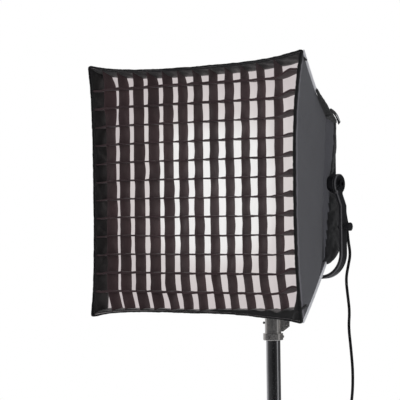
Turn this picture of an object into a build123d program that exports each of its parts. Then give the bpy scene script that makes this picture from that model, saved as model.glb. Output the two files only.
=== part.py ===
from build123d import *
import math
import os

os.makedirs("parts", exist_ok=True)

# ---------------------------------------------------------------- driving dimensions (mm)
AX_Z = 1620.0            # height of the softbox axis above the floor
COL_Y = 114.084            # column axis, so that the stand's footprint is centred on the origin
FRONT = 331.0            # front rim to column axis
Y0 = COL_Y - FRONT       # plane of the softbox's front rim
PIV_DZ = 10.0            # tilt pivot above the softbox axis
PIV_Z = AX_Z + PIV_DZ

# softbox
HALF_F = 300.0           # front rim, half size at the corners
BOW_F = 18.0             # front edges pulled in at mid span
HALF_R = 166.0           # rear opening, half size
BOW_R = 2.0
SH_L = 318.0             # depth of the fabric shell
HEM_L = 12.0             # depth of the sewn front rim
FAB = 2.5                # shell fabric, lining and seam allowance together
GRID_D = 35.0            # depth of the egg crate
CELLS = 13
STRIP = 1.2
BORDER_H = 280.4         # grid border, outer half size at the corners

# lamp head
HEAD_W, HEAD_H = 172.0, 165.0    # half width, half height
HEAD_F, HEAD_B = 319.5, 352.0    # depth positions behind the front rim

# yoke
ARM_IN, ARM_OUT = 188.0, 197.0   # upper part of the arm, beside the pivot
LOW_IN, LOW_OUT = 198.0, 207.0   # lower part, set outwards
ARM_HW = 12.5                    # half width of the bar along Y
BAR_T, BAR_B = -208.0, -216.5    # crossbar top and bottom, from the softbox axis
CORNER_R = 62.0

# stand
COL_R, COL_RI = 21.0, 18.5
RISER_R, RISER_RI = 17.5, 15.5
LEG_R = 12.7
REACH = 470.0
CORD_D = 7.0


def half_at(y):
    """Outer half size of the fabric shell at a depth behind the front rim."""
    return HALF_F + (HALF_R - HALF_F) * y / SH_L


def bow_at(y):
    return BOW_F + (BOW_R - BOW_F) * y / SH_L


def turn(x, z, quarter):
    """A point turned by quarter turns about the softbox axis."""
    for _ in range(quarter):
        x, z = -z, x
    return (x, z)


def P(x, z):
    """A point of an upright sketch plane, given from the softbox axis."""
    return (x, AX_Z + z)


def upright(y):
    """Sketch plane facing -Y at a depth behind the front rim."""
    return Plane.XZ.offset(-(Y0 + y))


def radial(deg):
    a = math.radians(deg)
    return Plane(origin=(0, COL_Y, 0), x_dir=(math.cos(a), math.sin(a), 0), z_dir=(math.sin(a), -math.cos(a), 0))


def put(thing, name):
    thing.part.label = name
    export_step(thing.part, f"parts/{name}.step")
    print(f"{name:26s} solids {len(thing.part.solids()):3d}  volume {thing.part.volume:12.1f}")


def arc_frame(h_out, b_out, h_in, b_in):
    """Square outline whose edges bow inwards, less a smaller one; made inside a BuildSketch."""
    for h, b, m in ((h_out, b_out, Mode.ADD), (h_in, b_in, Mode.SUBTRACT)):
        if h is None:
            continue
        with BuildSketch(mode=Mode.PRIVATE) as s:
            with BuildLine():
                ThreePointArc((-h, h), (0, h - b), (h, h))
                ThreePointArc((h, h), (h - b, 0), (h, -h))
                ThreePointArc((h, -h), (0, -h + b), (-h, -h))
                ThreePointArc((-h, -h), (-h + b, 0), (-h, h))
            make_face()
        add(s.sketch.moved(Location((0, AX_Z, 0))), mode=m)


# ================================================================= STAND (root)
with BuildPart() as base_column:
    with BuildSketch(Plane.XY.offset(100)):
        with Locations((0, COL_Y)):
            Circle(COL_R)
            Circle(COL_RI, mode=Mode.SUBTRACT)
    extrude(amount=690)
put(base_column, "base_column")

RING_H = 36.0
LEGS = {"front": (-90.0, 128.0), "left": (150.0, 128.0 + RING_H + 0.6), "right": (30.0, 128.0 + 2 * RING_H + 1.2)}
for side, (deg, h) in LEGS.items():
    path_pts = [(27, h), (92, h), (232, 52), (REACH, 18.5)]
    bore = COL_R + (0.0 if side == "front" else 0.05)
    with BuildPart() as leg:
        with BuildLine(radial(deg)) as path:
            FilletPolyline(*path_pts, radius=(64, 90))
        with BuildSketch(Plane(origin=path.line @ 0, z_dir=path.line % 0)):
            Circle(LEG_R)
            Circle(LEG_R - 2, mode=Mode.SUBTRACT)
        sweep(path=path.line)
        with BuildSketch(Plane.XY.offset(h - RING_H / 2)):
            with Locations((0, COL_Y)):
                Circle(34)
        extrude(amount=RING_H)
        # stiffening collar where the tube enters the ring
        with BuildSketch(Plane(origin=(math.cos(math.radians(deg)) * 28, COL_Y + math.sin(math.radians(deg)) * 28, h),
                               z_dir=(math.cos(math.radians(deg)), math.sin(math.radians(deg)), 0))):
            Circle(15.5)
            Circle(LEG_R - 2, mode=Mode.SUBTRACT)
        extrude(amount=26)
        with BuildSketch(Plane.XY.offset(h - RING_H)):
            with Locations((0, COL_Y)):
                Circle(bore)
        extrude(amount=RING_H * 2, mode=Mode.SUBTRACT)
        chamfer(leg.edges().filter_by(GeomType.CIRCLE).filter_by(lambda e: abs(e.radius - 34) < 0.01), 1.5)
    put(leg, f"leg_{side}")

    slope = math.atan2(52 - 18.5, REACH - 232)
    a = math.radians(deg)
    d = Vector(math.cos(a) * math.cos(slope), math.sin(a) * math.cos(slope), -math.sin(slope))
    tip = Vector(math.cos(a) * REACH, COL_Y + math.sin(a) * REACH, 18.5)
    with BuildPart() as boot:
        with BuildSketch(Plane(origin=tip - d * 34, z_dir=d)):
            Circle(15.6)
        extrude(amount=42)
        fillet(boot.edges().filter_by(GeomType.CIRCLE), 2.5)
        with BuildSketch(Plane.XY):
            with Locations((tip.X - d.X * 14, tip.Y - d.Y * 14)):
                Circle(13)
        extrude(amount=14)
        with BuildSketch(Plane(origin=tip - d * 60, z_dir=d)):
            Circle(LEG_R)
        extrude(amount=60, mode=Mode.SUBTRACT)
    put(boot, f"foot_{side}")

with BuildPart() as hub_keepers:
    for z, t in ((99.5, 10.0), (LEGS["right"][1] + RING_H / 2 + 0.5, 14.0)):
        with BuildSketch(Plane.XY.offset(z)):
            with Locations((0, COL_Y)):
                Circle(30)
                Circle(COL_R, mode=Mode.SUBTRACT)
        extrude(amount=t)
    chamfer(hub_keepers.edges().filter_by(GeomType.CIRCLE).filter_by(lambda e: abs(e.radius - 30) < 0.01), 1.2)
put(hub_keepers, "hub_keepers")

COLLAR_Z = 742.0
with BuildPart() as column_collar:
    with BuildSketch(Plane.XY.offset(COLLAR_Z)):
        with Locations((0, COL_Y)):
            Circle(27.5)
    extrude(amount=66)
    with BuildSketch(Plane.XY.offset(COLLAR_Z + 58)):
        with Locations((0, COL_Y)):
            Circle(31)
    extrude(amount=9)
    # boss for the locking knob, towards -X -Y
    with BuildSketch(Plane(origin=(0, COL_Y, COLLAR_Z + 30), x_dir=(0, 0, 1), z_dir=(-1, 0, 0))):
        RectangleRounded(34, 26, 6)
    extrude(amount=42)
    with BuildSketch(Plane.XY.offset(COLLAR_Z - 1)):
        with Locations((0, COL_Y)):
            Circle(COL_R)
    extrude(amount=49, mode=Mode.SUBTRACT)
    with BuildSketch(Plane.XY.offset(COLLAR_Z)):
        with Locations((0, COL_Y)):
            Circle(RISER_R + 0.05)
    extrude(amount=80, mode=Mode.SUBTRACT)
    with BuildSketch(Plane(origin=(-60, COL_Y, COLLAR_Z + 30), z_dir=(1, 0, 0))):
        Circle(5.05)
    extrude(amount=38.5, mode=Mode.SUBTRACT)
    chamfer(column_collar.edges().filter_by(GeomType.CIRCLE).filter_by(lambda e: abs(e.radius - 31) < 0.01), 1.5)
put(column_collar, "column_collar")

with BuildPart() as collar_knob:
    with BuildSketch(Plane(origin=(-42.6, COL_Y, COLLAR_Z + 30), z_dir=(-1, 0, 0))):
        Circle(12)
    extrude(amount=8)
    with BuildSketch(Plane(origin=(-50.6, COL_Y, COLLAR_Z + 30), z_dir=(-1, 0, 0))):
        Circle(24)
        with PolarLocations(24, 6):
            Circle(6.5, mode=Mode.SUBTRACT)
    extrude(amount=18)
    fillet(collar_knob.faces().sort_by(Axis.X)[0].edges(), 1.5)
    with BuildSketch(Plane(origin=(-42.6, COL_Y, COLLAR_Z + 30), z_dir=(1, 0, 0))):
        Circle(5.0)
    extrude(amount=18)
put(collar_knob, "collar_knob")

# ================================================================= RISER
REC_B = AX_Z - 368.0      # underside of the receiver's ring
with BuildPart() as riser_tube:
    with BuildSketch(Plane.XY.offset(262)):
        with Locations((0, COL_Y)):
            Circle(RISER_R)
            Circle(RISER_RI, mode=Mode.SUBTRACT)
    extrude(amount=REC_B + 28 - 262)
put(riser_tube, "riser_tube")

with BuildPart() as riser_bushing:
    with BuildSketch(Plane.XY.offset(248)):
        with Locations((0, COL_Y)):
            Circle(COL_RI - 0.05)
            Circle(10, mode=Mode.SUBTRACT)
    extrude(amount=14)
    with BuildSketch(Plane.XY.offset(262)):
        with Locations((0, COL_Y)):
            Circle(RISER_RI)
            Circle(10, mode=Mode.SUBTRACT)
    extrude(amount=18)
put(riser_bushing, "riser_bushing")

SPG_Z = REC_B + 42        # floor of the spigot socket
REC_T = AX_Z - 252.0      # mouth of the receiver
BOSS_DEG = 36.0
ba = math.radians(BOSS_DEG)
bx, by = math.cos(ba), math.sin(ba)
with BuildPart() as receiver_casting:
    with BuildSketch(Plane.XY.offset(REC_B)):
        with Locations((0, COL_Y)):
            Circle(24.5)
    extrude(amount=17)
    with BuildSketch(Plane.XY.offset(REC_B + 17)):
        with Locations((0, COL_Y)):
            Circle(19.8)
    extrude(amount=REC_T - REC_B - 17)
    with BuildSketch(radial(BOSS_DEG)):
        with BuildLine():
            Polyline((10, REC_B + 21), (24, REC_B + 21), (40, REC_B + 33), (41, REC_B + 84), (10, REC_B + 96), (10, REC_B + 21))
        make_face()
    extrude(amount=9.5, both=True)
    with BuildSketch(Plane.XY.offset(REC_T - 12)):
        with Locations((0, COL_Y)):
            Circle(22.5)
    extrude(amount=12)
    # socket for the riser, socket for the spigot, screw hole in the boss
    with BuildSketch(Plane.XY.offset(REC_B - 1)):
        with Locations((0, COL_Y)):
            Circle(RISER_R)
    extrude(amount=29, mode=Mode.SUBTRACT)
    with BuildSketch(Plane.XY.offset(SPG_Z)):
        with Locations((0, COL_Y)):
            Circle(14.05)
    extrude(amount=120, mode=Mode.SUBTRACT)
    with BuildSketch(Plane(origin=(bx * 12, COL_Y + by * 12, AX_Z - 300), z_dir=(bx, by, 0))):
        Circle(5.05)
    extrude(amount=40, mode=Mode.SUBTRACT)
    chamfer(receiver_casting.edges().filter_by(GeomType.CIRCLE).filter_by(lambda e: abs(e.radius - 24.5) < 0.01), 1.2)
put(receiver_casting, "receiver_casting")

with BuildPart() as receiver_tee:
    with BuildSketch(Plane(origin=(bx * 15, COL_Y + by * 15, AX_Z - 300), z_dir=(bx, by, 0))):
        Circle(5.0)
    extrude(amount=38)
    with BuildSketch(Plane(origin=(bx * 41.6, COL_Y + by * 41.6, AX_Z - 300), z_dir=(bx, by, 0))):
        Circle(9)
    extrude(amount=13)
    with BuildSketch(Plane(origin=(bx * 60, COL_Y + by * 60, AX_Z - 300), z_dir=(bx, by, 0))):
        Circle(7)
    extrude(amount=-8)
    with BuildSketch(Plane(origin=(bx * 58, COL_Y + by * 58, AX_Z - 300), x_dir=(bx, by, 0), z_dir=(-by, bx, 0))):
        Circle(4.0)
    extrude(amount=30, both=True)
    with BuildSketch(Plane(origin=(bx * 58 - by * 30, COL_Y + by * 58 + bx * 30, AX_Z - 300), x_dir=(bx, by, 0), z_dir=(-by, bx, 0))):
        Circle(5.6)
    extrude(amount=-6)
    with BuildSketch(Plane(origin=(bx * 58 + by * 30, COL_Y + by * 58 - bx * 30, AX_Z - 300), x_dir=(bx, by, 0), z_dir=(-by, bx, 0))):
        Circle(5.6)
    extrude(amount=6)
put(receiver_tee, "receiver_tee")

with BuildPart() as receiver_screws:
    for deg, z, r0, l in ((-78, REC_B + 8, 24.5, 2.4), (42, REC_B + 8, 24.5, 2.4), (162, REC_B + 8, 24.5, 2.4), (196, REC_B + 42, 19.8, 5.5)):
        a = math.radians(deg)
        with BuildSketch(Plane(origin=(math.cos(a) * (r0 - 0.3), COL_Y + math.sin(a) * (r0 - 0.3), z), z_dir=(math.cos(a), math.sin(a), 0))):
            Circle(2.9)
        extrude(amount=l)
put(receiver_screws, "receiver_screws")

# strap that holds the cord against the riser
STRAP_Z = 870.0
LOBE_DEG = 68.0
la = math.radians(LOBE_DEG)
LOBE = (math.cos(la) * 37.0, COL_Y + math.sin(la) * 37.0)
with BuildPart() as cord_strap:
    with BuildSketch(Plane.XY.offset(STRAP_Z - 10)):
        with Locations((0, COL_Y)):
            Circle(RISER_R + 2.6)
        with Locations((math.cos(la) * 26, COL_Y + math.sin(la) * 26)):
            Rectangle(24, 7, rotation=LOBE_DEG)
        with Locations(LOBE):
            Circle(6.5)
        with Locations((0, COL_Y)):
            Circle(RISER_R, mode=Mode.SUBTRACT)
    extrude(amount=20)
put(cord_strap, "cord_strap")

# ================================================================= YOKE
with BuildPart() as yoke_frame:
    # bar bent to a U, with each arm set outwards below its pivot end
    with BuildSketch(Plane.XZ.offset(-COL_Y)):
        with BuildLine():
            zt, zb = AX_Z + BAR_T, AX_Z + BAR_B
            ro, ri = CORNER_R, CORNER_R - 8.5
            Polyline(
                (ARM_OUT, PIV_Z), (ARM_OUT, PIV_Z - 24), (LOW_OUT, PIV_Z - 52), (LOW_OUT, zb + ro))
            RadiusArc((LOW_OUT, zb + ro), (LOW_OUT - ro, zb), ro)
            Line((LOW_OUT - ro, zb), (-LOW_OUT + ro, zb))
            RadiusArc((-LOW_OUT + ro, zb), (-LOW_OUT, zb + ro), ro)
            Polyline((-LOW_OUT, zb + ro), (-LOW_OUT, PIV_Z - 52), (-ARM_OUT, PIV_Z - 24), (-ARM_OUT, PIV_Z), (-ARM_IN, PIV_Z),
                     (-ARM_IN, PIV_Z - 26), (-LOW_IN, PIV_Z - 54), (-LOW_IN, zb + ro))
            RadiusArc((-LOW_IN, zb + ro), (-LOW_IN + ri, zb + 8.5), -ri)
            Line((-LOW_IN + ri, zb + 8.5), (LOW_IN - ri, zb + 8.5))
            RadiusArc((LOW_IN - ri, zb + 8.5), (LOW_IN, zb + ro), -ri)
            Polyline((LOW_IN, zb + ro), (LOW_IN, PIV_Z - 54), (ARM_IN, PIV_Z - 26), (ARM_IN, PIV_Z), (ARM_OUT, PIV_Z))
        make_face()
    extrude(amount=ARM_HW, both=True)
    # round ends
    for s in (1, -1):
        with BuildSketch(Plane(origin=(s * ARM_IN, COL_Y, PIV_Z), z_dir=(s, 0, 0))):
            Circle(24)
        extrude(amount=ARM_OUT - ARM_IN)
    for s in (1, -1):
        with BuildSketch(Plane(origin=(s * (ARM_IN - 1), COL_Y, PIV_Z), z_dir=(s, 0, 0))):
            Circle(6.0)
        extrude(amount=30, mode=Mode.SUBTRACT)
    # spigot bolt hole
    with BuildSketch(Plane.XY.offset(AX_Z + BAR_B - 2)):
        with Locations((0, COL_Y)):
            Circle(5.0)
    extrude(amount=14, mode=Mode.SUBTRACT)
    # clip screw hole in the right arm
    with BuildSketch(Plane(origin=(LOW_IN - 2, COL_Y, AX_Z - 92), z_dir=(1, 0, 0))):
        Circle(3.05)
    extrude(amount=14, mode=Mode.SUBTRACT)
put(yoke_frame, "yoke_frame")

with BuildPart() as yoke_spigot:
    with BuildSketch(Plane.XY.offset(SPG_Z + 2)):
        with Locations((0, COL_Y)):
            Circle(14.0)
    extrude(amount=REC_T - SPG_Z - 1.6)
    with BuildSketch(Plane.XY.offset(REC_T + 0.4)):
        with Locations((0, COL_Y)):
            Circle(20)
    extrude(amount=6)
    with BuildSketch(Plane.XY.offset(REC_T + 6.4)):
        with Locations((0, COL_Y)):
            RegularPolygon(17, 6)
    extrude(amount=AX_Z + BAR_B - REC_T - 6.4)
    chamfer(yoke_spigot.faces().sort_by(Axis.Z)[0].edges(), 2)
    with BuildSketch(Plane.XY.offset(AX_Z + BAR_B - 24)):
        with Locations((0, COL_Y)):
            Circle(5.0)
    extrude(amount=40, mode=Mode.SUBTRACT)
put(yoke_spigot, "yoke_spigot")

with BuildPart() as spigot_bolt:
    with BuildSketch(Plane.XY.offset(AX_Z + BAR_B - 23)):
        with Locations((0, COL_Y)):
            Circle(5.0)
    extrude(amount=BAR_T - BAR_B + 23)
    with BuildSketch(Plane.XY.offset(AX_Z + BAR_T)):
        with Locations((0, COL_Y)):
            Circle(11)
    extrude(amount=2)
    with BuildSketch(Plane.XY.offset(AX_Z + BAR_T + 2)):
        with Locations((0, COL_Y)):
            RegularPolygon(9.2, 6)
    extrude(amount=6.4)
put(spigot_bolt, "spigot_bolt")

# pivot bolts: hex socket heads outside the arms, shanks running in the head's hubs
with BuildPart() as pivot_bolts:
    for s in (1, -1):
        with BuildSketch(Plane(origin=(s * (ARM_IN - 13), COL_Y, PIV_Z), z_dir=(s, 0, 0))):
            Circle(6.0)
        extrude(amount=ARM_OUT - ARM_IN + 13)
    with BuildSketch(Plane(origin=(ARM_OUT, COL_Y, PIV_Z), z_dir=(1, 0, 0))):
        Circle(16)
    extrude(amount=1.6)
    with BuildSketch(Plane(origin=(ARM_OUT + 1.6, COL_Y, PIV_Z), z_dir=(1, 0, 0))):
        Circle(10.5)
    extrude(amount=4.2)
    with BuildSketch(Plane(origin=(ARM_OUT + 5.8, COL_Y, PIV_Z), z_dir=(-1, 0, 0))):
        RegularPolygon(5.2, 6)
    extrude(amount=4.0, mode=Mode.SUBTRACT)
    # left side: threaded end that carries the lock lever
    with BuildSketch(Plane(origin=(-ARM_OUT, COL_Y, PIV_Z), z_dir=(-1, 0, 0))):
        Circle(14)
    extrude(amount=2.0)
    with BuildSketch(Plane(origin=(-ARM_OUT - 2, COL_Y, PIV_Z), z_dir=(-1, 0, 0))):
        Circle(5.0)
    extrude(amount=20)
put(pivot_bolts, "pivot_bolts")

with BuildPart() as tilt_lock_knob:
    with BuildSketch(Plane(origin=(-ARM_OUT - 2.4, COL_Y, PIV_Z), z_dir=(-1, 0, 0))):
        Circle(13)
    extrude(amount=10)
    with BuildSketch(Plane(origin=(-ARM_OUT - 12.4, COL_Y, PIV_Z), z_dir=(-1, 0, 0))):
        Circle(27)
        with PolarLocations(28, 6):
            Circle(8, mode=Mode.SUBTRACT)
    extrude(amount=17)
    fillet(tilt_lock_knob.faces().sort_by(Axis.X)[0].edges(), 2)
    with BuildSketch(Plane(origin=(-ARM_OUT, COL_Y, PIV_Z), z_dir=(-1, 0, 0))):
        Circle(5.06)
    extrude(amount=23, mode=Mode.SUBTRACT)
put(tilt_lock_knob, "tilt_lock_knob")

CLIP_X, CLIP_Y, CLIP_Z = 199.5, COL_Y + 25.0, AX_Z - 92.0
with BuildPart() as cord_clip:
    with BuildSketch(Plane(origin=(LOW_IN, COL_Y, CLIP_Z), z_dir=(-1, 0, 0), x_dir=(0, 1, 0))):
        with Locations((6.5, 0)):
            RectangleRounded(31, 15, 3)
    extrude(amount=2.5)
    with BuildSketch(Plane.XY.offset(CLIP_Z - 7)):
        with Locations((CLIP_X, CLIP_Y)):
            Circle(6.6)
    extrude(amount=14)
    with BuildSketch(Plane(origin=(LOW_IN + 3, COL_Y, CLIP_Z), z_dir=(-1, 0, 0))):
        Circle(3.05)
    extrude(amount=20, mode=Mode.SUBTRACT)
    with BuildSketch(Plane(origin=(LOW_IN, COL_Y, CLIP_Z), z_dir=(1, 0, 0), x_dir=(0, 1, 0))):
        Rectangle(ARM_HW * 2, 40)
    extrude(amount=20, mode=Mode.SUBTRACT)
put(cord_clip, "cord_clip")

with BuildPart() as clip_thumbscrew:
    with BuildSketch(Plane(origin=(LOW_IN - 8, COL_Y, CLIP_Z), z_dir=(1, 0, 0))):
        Circle(3.0)
    extrude(amount=30)
    with BuildSketch(Plane(origin=(LOW_OUT + 0.4, COL_Y, CLIP_Z), z_dir=(1, 0, 0))):
        Circle(5.2)
    extrude(amount=6)
    with BuildSketch(Plane(origin=(LOW_OUT + 6.4, COL_Y, CLIP_Z), z_dir=(1, 0, 0))):
        Circle(10)
        with PolarLocations(10.3, 14):
            Circle(0.9, mode=Mode.SUBTRACT)
    extrude(amount=11)
put(clip_thumbscrew, "clip_thumbscrew")

# ================================================================= LAMP HEAD
with BuildPart() as head_housing:
    with BuildSketch(upright(HEAD_F)):
        with Locations(P(0, 0)):
            RectangleRounded(2 * HEAD_W, 2 * HEAD_H, 10)
    extrude(amount=-(HEAD_B - HEAD_F))
    with BuildSketch(upright(HEAD_F)):
        with Locations(P(0, 0)):
            RectangleRounded(2 * HEAD_W - 8, 2 * HEAD_H - 8, 7)
    extrude(amount=-(HEAD_B - HEAD_F - 4), mode=Mode.SUBTRACT)
    # vent slots in both side walls and in the top
    for k in range(7):
        with BuildSketch(Plane(origin=(-HEAD_W - 5, Y0 + 337, AX_Z + 66 + k * 12), z_dir=(1, 0, 0), x_dir=(0, 1, 0))):
            SlotOverall(16, 4)
        extrude(amount=2 * HEAD_W + 10, mode=Mode.SUBTRACT)
    for s in (1, -1):
        with BuildSketch(Plane(origin=(s * (HEAD_W - 6), COL_Y, PIV_Z), z_dir=(s, 0, 0))):
            Circle(6.05)
        extrude(amount=12, mode=Mode.SUBTRACT)
put(head_housing, "head_housing")

with BuildPart() as pivot_hubs:
    for s in (1, -1):
        with BuildSketch(Plane(origin=(s * HEAD_W, COL_Y, PIV_Z), z_dir=(s, 0, 0))):
            Circle(17.5)
        extrude(amount=ARM_IN - HEAD_W - 0.4)
    for s in (1, -1):
        with BuildSketch(Plane(origin=(s * (HEAD_W - 4), COL_Y, PIV_Z), z_dir=(s, 0, 0))):
            Circle(6.05)
        extrude(amount=30, mode=Mode.SUBTRACT)
put(pivot_hubs, "pivot_hubs")

with BuildPart() as head_bezel:
    with BuildSketch(upright(297)):
        with Locations(P(0, 0)):
            RectangleRounded(310, 296, 8)
            RectangleRounded(286, 272, 4, mode=Mode.SUBTRACT)
    extrude(amount=-22.3)
put(head_bezel, "head_bezel")

with BuildPart() as opal_panel:
    with BuildSketch(upright(301)):
        with Locations(P(0, 0)):
            RectangleRounded(285.4, 271.4, 4)
    extrude(amount=-3)
put(opal_panel, "opal_panel")

with BuildPart() as led_board:
    with BuildSketch(upright(330)):
        with Locations(P(0, 0)):
            Rectangle(300, 290)
    extrude(amount=-3)
put(led_board, "led_board")

with BuildPart() as led_emitters:
    with BuildSketch(upright(328)):
        with Locations(P(0, 0)):
            with GridLocations(34, 34, 8, 8):
                Circle(6)
    extrude(amount=-2)
put(led_emitters, "led_emitters")

with BuildPart() as rear_cover:
    with BuildSketch(upright(HEAD_B)) as s0:
        with Locations(P(0, 0)):
            RectangleRounded(2 * HEAD_W - 2, 2 * HEAD_H - 2, 9)
    extrude(amount=-9)
    chamfer(rear_cover.faces().sort_by(Axis.Y)[-1].edges(), 6)
put(rear_cover, "rear_cover")

with BuildPart() as heat_sink:
    with BuildSketch(upright(HEAD_B + 9)):
        with Locations(P(0, 63)):
            Rectangle(256, 140)
    extrude(amount=-5)
    with BuildSketch(upright(HEAD_B + 14)):
        with Locations(P(0, 63)):
            with GridLocations(12, 1, 22, 1):
                Rectangle(2.2, 140)
    extrude(amount=-22)
put(heat_sink, "heat_sink")

BOX_B = HEAD_B + 50
with BuildPart() as control_box:
    with BuildSketch(upright(HEAD_B + 9)):
        with Locations(P(0, -83)):
            RectangleRounded(236, 132, 6)
    extrude(amount=-41)
    fillet(control_box.faces().sort_by(Axis.Y)[-1].edges(), 3)
    # seats for the display, dials, buttons and switch in the back face
    for x, z, r in ((-64, -110, 11.4), (-30, -110, 11.4)):
        with BuildSketch(upright(BOX_B)):
            with Locations(P(x, z)):
                Circle(r)
        extrude(amount=8, mode=Mode.SUBTRACT)
    for x in (10, 34):
        with BuildSketch(upright(BOX_B)):
            with Locations(P(x, -112)):
                Circle(6.4)
        extrude(amount=8, mode=Mode.SUBTRACT)
    with BuildSketch(upright(BOX_B)):
        with Locations(P(84, -96)):
            Rectangle(16.8, 24.8)
    extrude(amount=14, mode=Mode.SUBTRACT)
    # pin across the switch's pocket, which the rocker turns on
    with BuildSketch(Plane(origin=(84 - 9.4, Y0 + BOX_B - 2, AX_Z - 96), z_dir=(1, 0, 0), x_dir=(0, 1, 0))):
        Circle(1.45)
    extrude(amount=18.8)
    with BuildSketch(upright(BOX_B)):
        with Locations(P(-10, -74)):
            Rectangle(70, 28)
    extrude(amount=2, mode=Mode.SUBTRACT)
put(control_box, "control_box")

with BuildPart() as display_window:
    with BuildSketch(upright(BOX_B - 2)):
        with Locations(P(-10, -74)):
            Rectangle(69.6, 27.6)
    extrude(amount=-2.2)
put(display_window, "display_window")

for name, x in (("dial_left", -64), ("dial_right", -30)):
    with BuildPart() as dial:
        with BuildSketch(upright(BOX_B - 7.5)):
            with Locations(P(x, -110)):
                Circle(9)
        extrude(amount=-8)
        with BuildSketch(upright(BOX_B + 0.5)):
            with Locations(P(x, -110)):
                Circle(11)
                with PolarLocations(11.3, 20):
                    with Locations((0, 0)):
                        Circle(0.8, mode=Mode.SUBTRACT)
        extrude(amount=-12)
    put(dial, name)

for name, x in (("button_left", 10), ("button_right", 34)):
    with BuildPart() as button:
        with BuildSketch(upright(BOX_B - 4)):
            with Locations(P(x, -112)):
                Circle(6.05)
        extrude(amount=-7)
        fillet(button.faces().sort_by(Axis.Y)[-1].edges(), 1)
    put(button, name)

with BuildPart() as power_rocker:
    with BuildSketch(Plane(origin=(84 - 8, 0, 0), z_dir=(1, 0, 0), x_dir=(0, 1, 0))):
        with BuildLine():
            yb = Y0 + BOX_B
            Polyline((yb + 0.5, AX_Z - 96 - 10), (yb + 4.5, AX_Z - 96 + 10), (yb - 6, AX_Z - 96 + 10), (yb - 6, AX_Z - 96 - 10), (yb + 0.5, AX_Z - 96 - 10))
        make_face()
    extrude(amount=16)
    # bore for the pin
    with BuildSketch(Plane(origin=(84 - 9, Y0 + BOX_B - 2, AX_Z - 96), z_dir=(1, 0, 0), x_dir=(0, 1, 0))):
        Circle(1.5)
    extrude(amount=18, mode=Mode.SUBTRACT)
put(power_rocker, "power_rocker")

with BuildPart() as rear_handle:
    with BuildLine() as hp:
        FilletPolyline((-78, Y0 + HEAD_B + 8, AX_Z + 148), (-78, Y0 + HEAD_B + 58, AX_Z + 148),
                       (78, Y0 + HEAD_B + 58, AX_Z + 148), (78, Y0 + HEAD_B + 8, AX_Z + 148), radius=16)
    with BuildSketch(Plane(origin=hp.line @ 0, z_dir=hp.line % 0)):
        Circle(7)
    sweep()
    with BuildSketch(upright(HEAD_B + 9)):
        with Locations(P(0, 148)):
            Rectangle(400, 40)
    extrude(amount=10, mode=Mode.SUBTRACT)
put(rear_handle, "rear_handle")

GL_Y, GL_Z = Y0 + BOX_B - 8, AX_Z - 36.0
with BuildPart() as cord_gland:
    with BuildSketch(Plane(origin=(118, GL_Y, GL_Z), z_dir=(1, 0, 0))):
        Circle(7.5)
    extrude(amount=5)
    with BuildSketch(Plane(origin=(123, GL_Y, GL_Z), z_dir=(1, 0, 0))):
        Circle(5.8)
    extrude(amount=24, taper=3.2)
put(cord_gland, "cord_gland")

# ================================================================= SOFTBOX
with BuildPart() as front_hem:
    with BuildSketch(upright(0)):
        arc_frame(HALF_F, BOW_F, BORDER_H + 0.8, BOW_F - 1)
    extrude(amount=-HEM_L)
put(front_hem, "front_hem")

SIDES = {"shell_top": 0, "shell_left": 1, "shell_bottom": 2, "shell_right": 3}
for name, q in SIDES.items():
    with BuildPart() as panel:
        for y in (HEM_L, SH_L):
            h, b = half_at(y), bow_at(y)
            o1, o2, om = turn(-h, h, q), turn(h, h, q), turn(0, h - b, q)
            i1, i2, im = turn(-h + FAB, h - FAB, q), turn(h - FAB, h - FAB, q), turn(0, h - b - FAB, q)
            with BuildSketch(upright(y)):
                with BuildLine():
                    ThreePointArc(P(*o1), P(*om), P(*o2))
                    Line(P(*o2), P(*i2))
                    ThreePointArc(P(*i2), P(*im), P(*i1))
                    Line(P(*i1), P(*o1))
                make_face()
        loft()
    put(panel, name)

# webbing sewn over the four ridges
with BuildPart() as ridge_tapes:
    for q in range(4):
        with BuildPart(mode=Mode.PRIVATE) as one:
            for y in (HEM_L + 1, SH_L - 14):
                h = half_at(y) + 0.25
                pts = [turn(*p, q) for p in ((h, h), (h - 9, h), (h - 9, h + 1.2), (h + 1.2, h + 1.2), (h + 1.2, h - 9), (h, h - 9), (h, h))]
                with BuildSketch(upright(y)):
                    with BuildLine():
                        Polyline(*[P(*p) for p in pts])
                    make_face()
            loft()
        add(one.part)
put(ridge_tapes, "ridge_tapes")

with BuildPart() as support_rods:
    for sx in (1, -1):
        for sz in (1, -1):
            a = Vector(sx * 268, Y0 + 46, AX_Z + sz * 268)
            b = Vector(sx * 155, Y0 + 288, AX_Z + sz * 155)
            with BuildSketch(Plane(origin=a, z_dir=b - a)):
                Circle(3)
            extrude(amount=(b - a).length)
put(support_rods, "support_rods")

# hinged sockets at the rear frame and sewn pockets at the front corners
with BuildPart() as rod_ends:
    for sx in (1, -1):
        for sz in (1, -1):
            a = Vector(sx * 268, Y0 + 46, AX_Z + sz * 268)
            b = Vector(sx * 155, Y0 + 288, AX_Z + sz * 155)
            d = (b - a).normalized()
            with BuildSketch(Plane(origin=b - d * 26, z_dir=d)):
                Circle(5.6)
            extrude(amount=24)
            with BuildSketch(Plane(origin=a - d * 2.5, z_dir=d)):
                Circle(5.2)
            extrude(amount=30)
            with BuildSketch(Plane(origin=a, z_dir=d)):
                Circle(3.0)
            extrude(amount=(b - a).length, mode=Mode.SUBTRACT)
put(rod_ends, "rod_ends")

# square frame that hooks the softbox to the lamp's bezel
with BuildPart() as mounting_frame:
    with BuildSketch(upright(303)):
        with Locations(P(0, 0)):
            RectangleRounded(322, 322, 6)
            RectangleRounded(311, 297, 4, mode=Mode.SUBTRACT)
    extrude(amount=-12)
put(mounting_frame, "mounting_frame")

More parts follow.
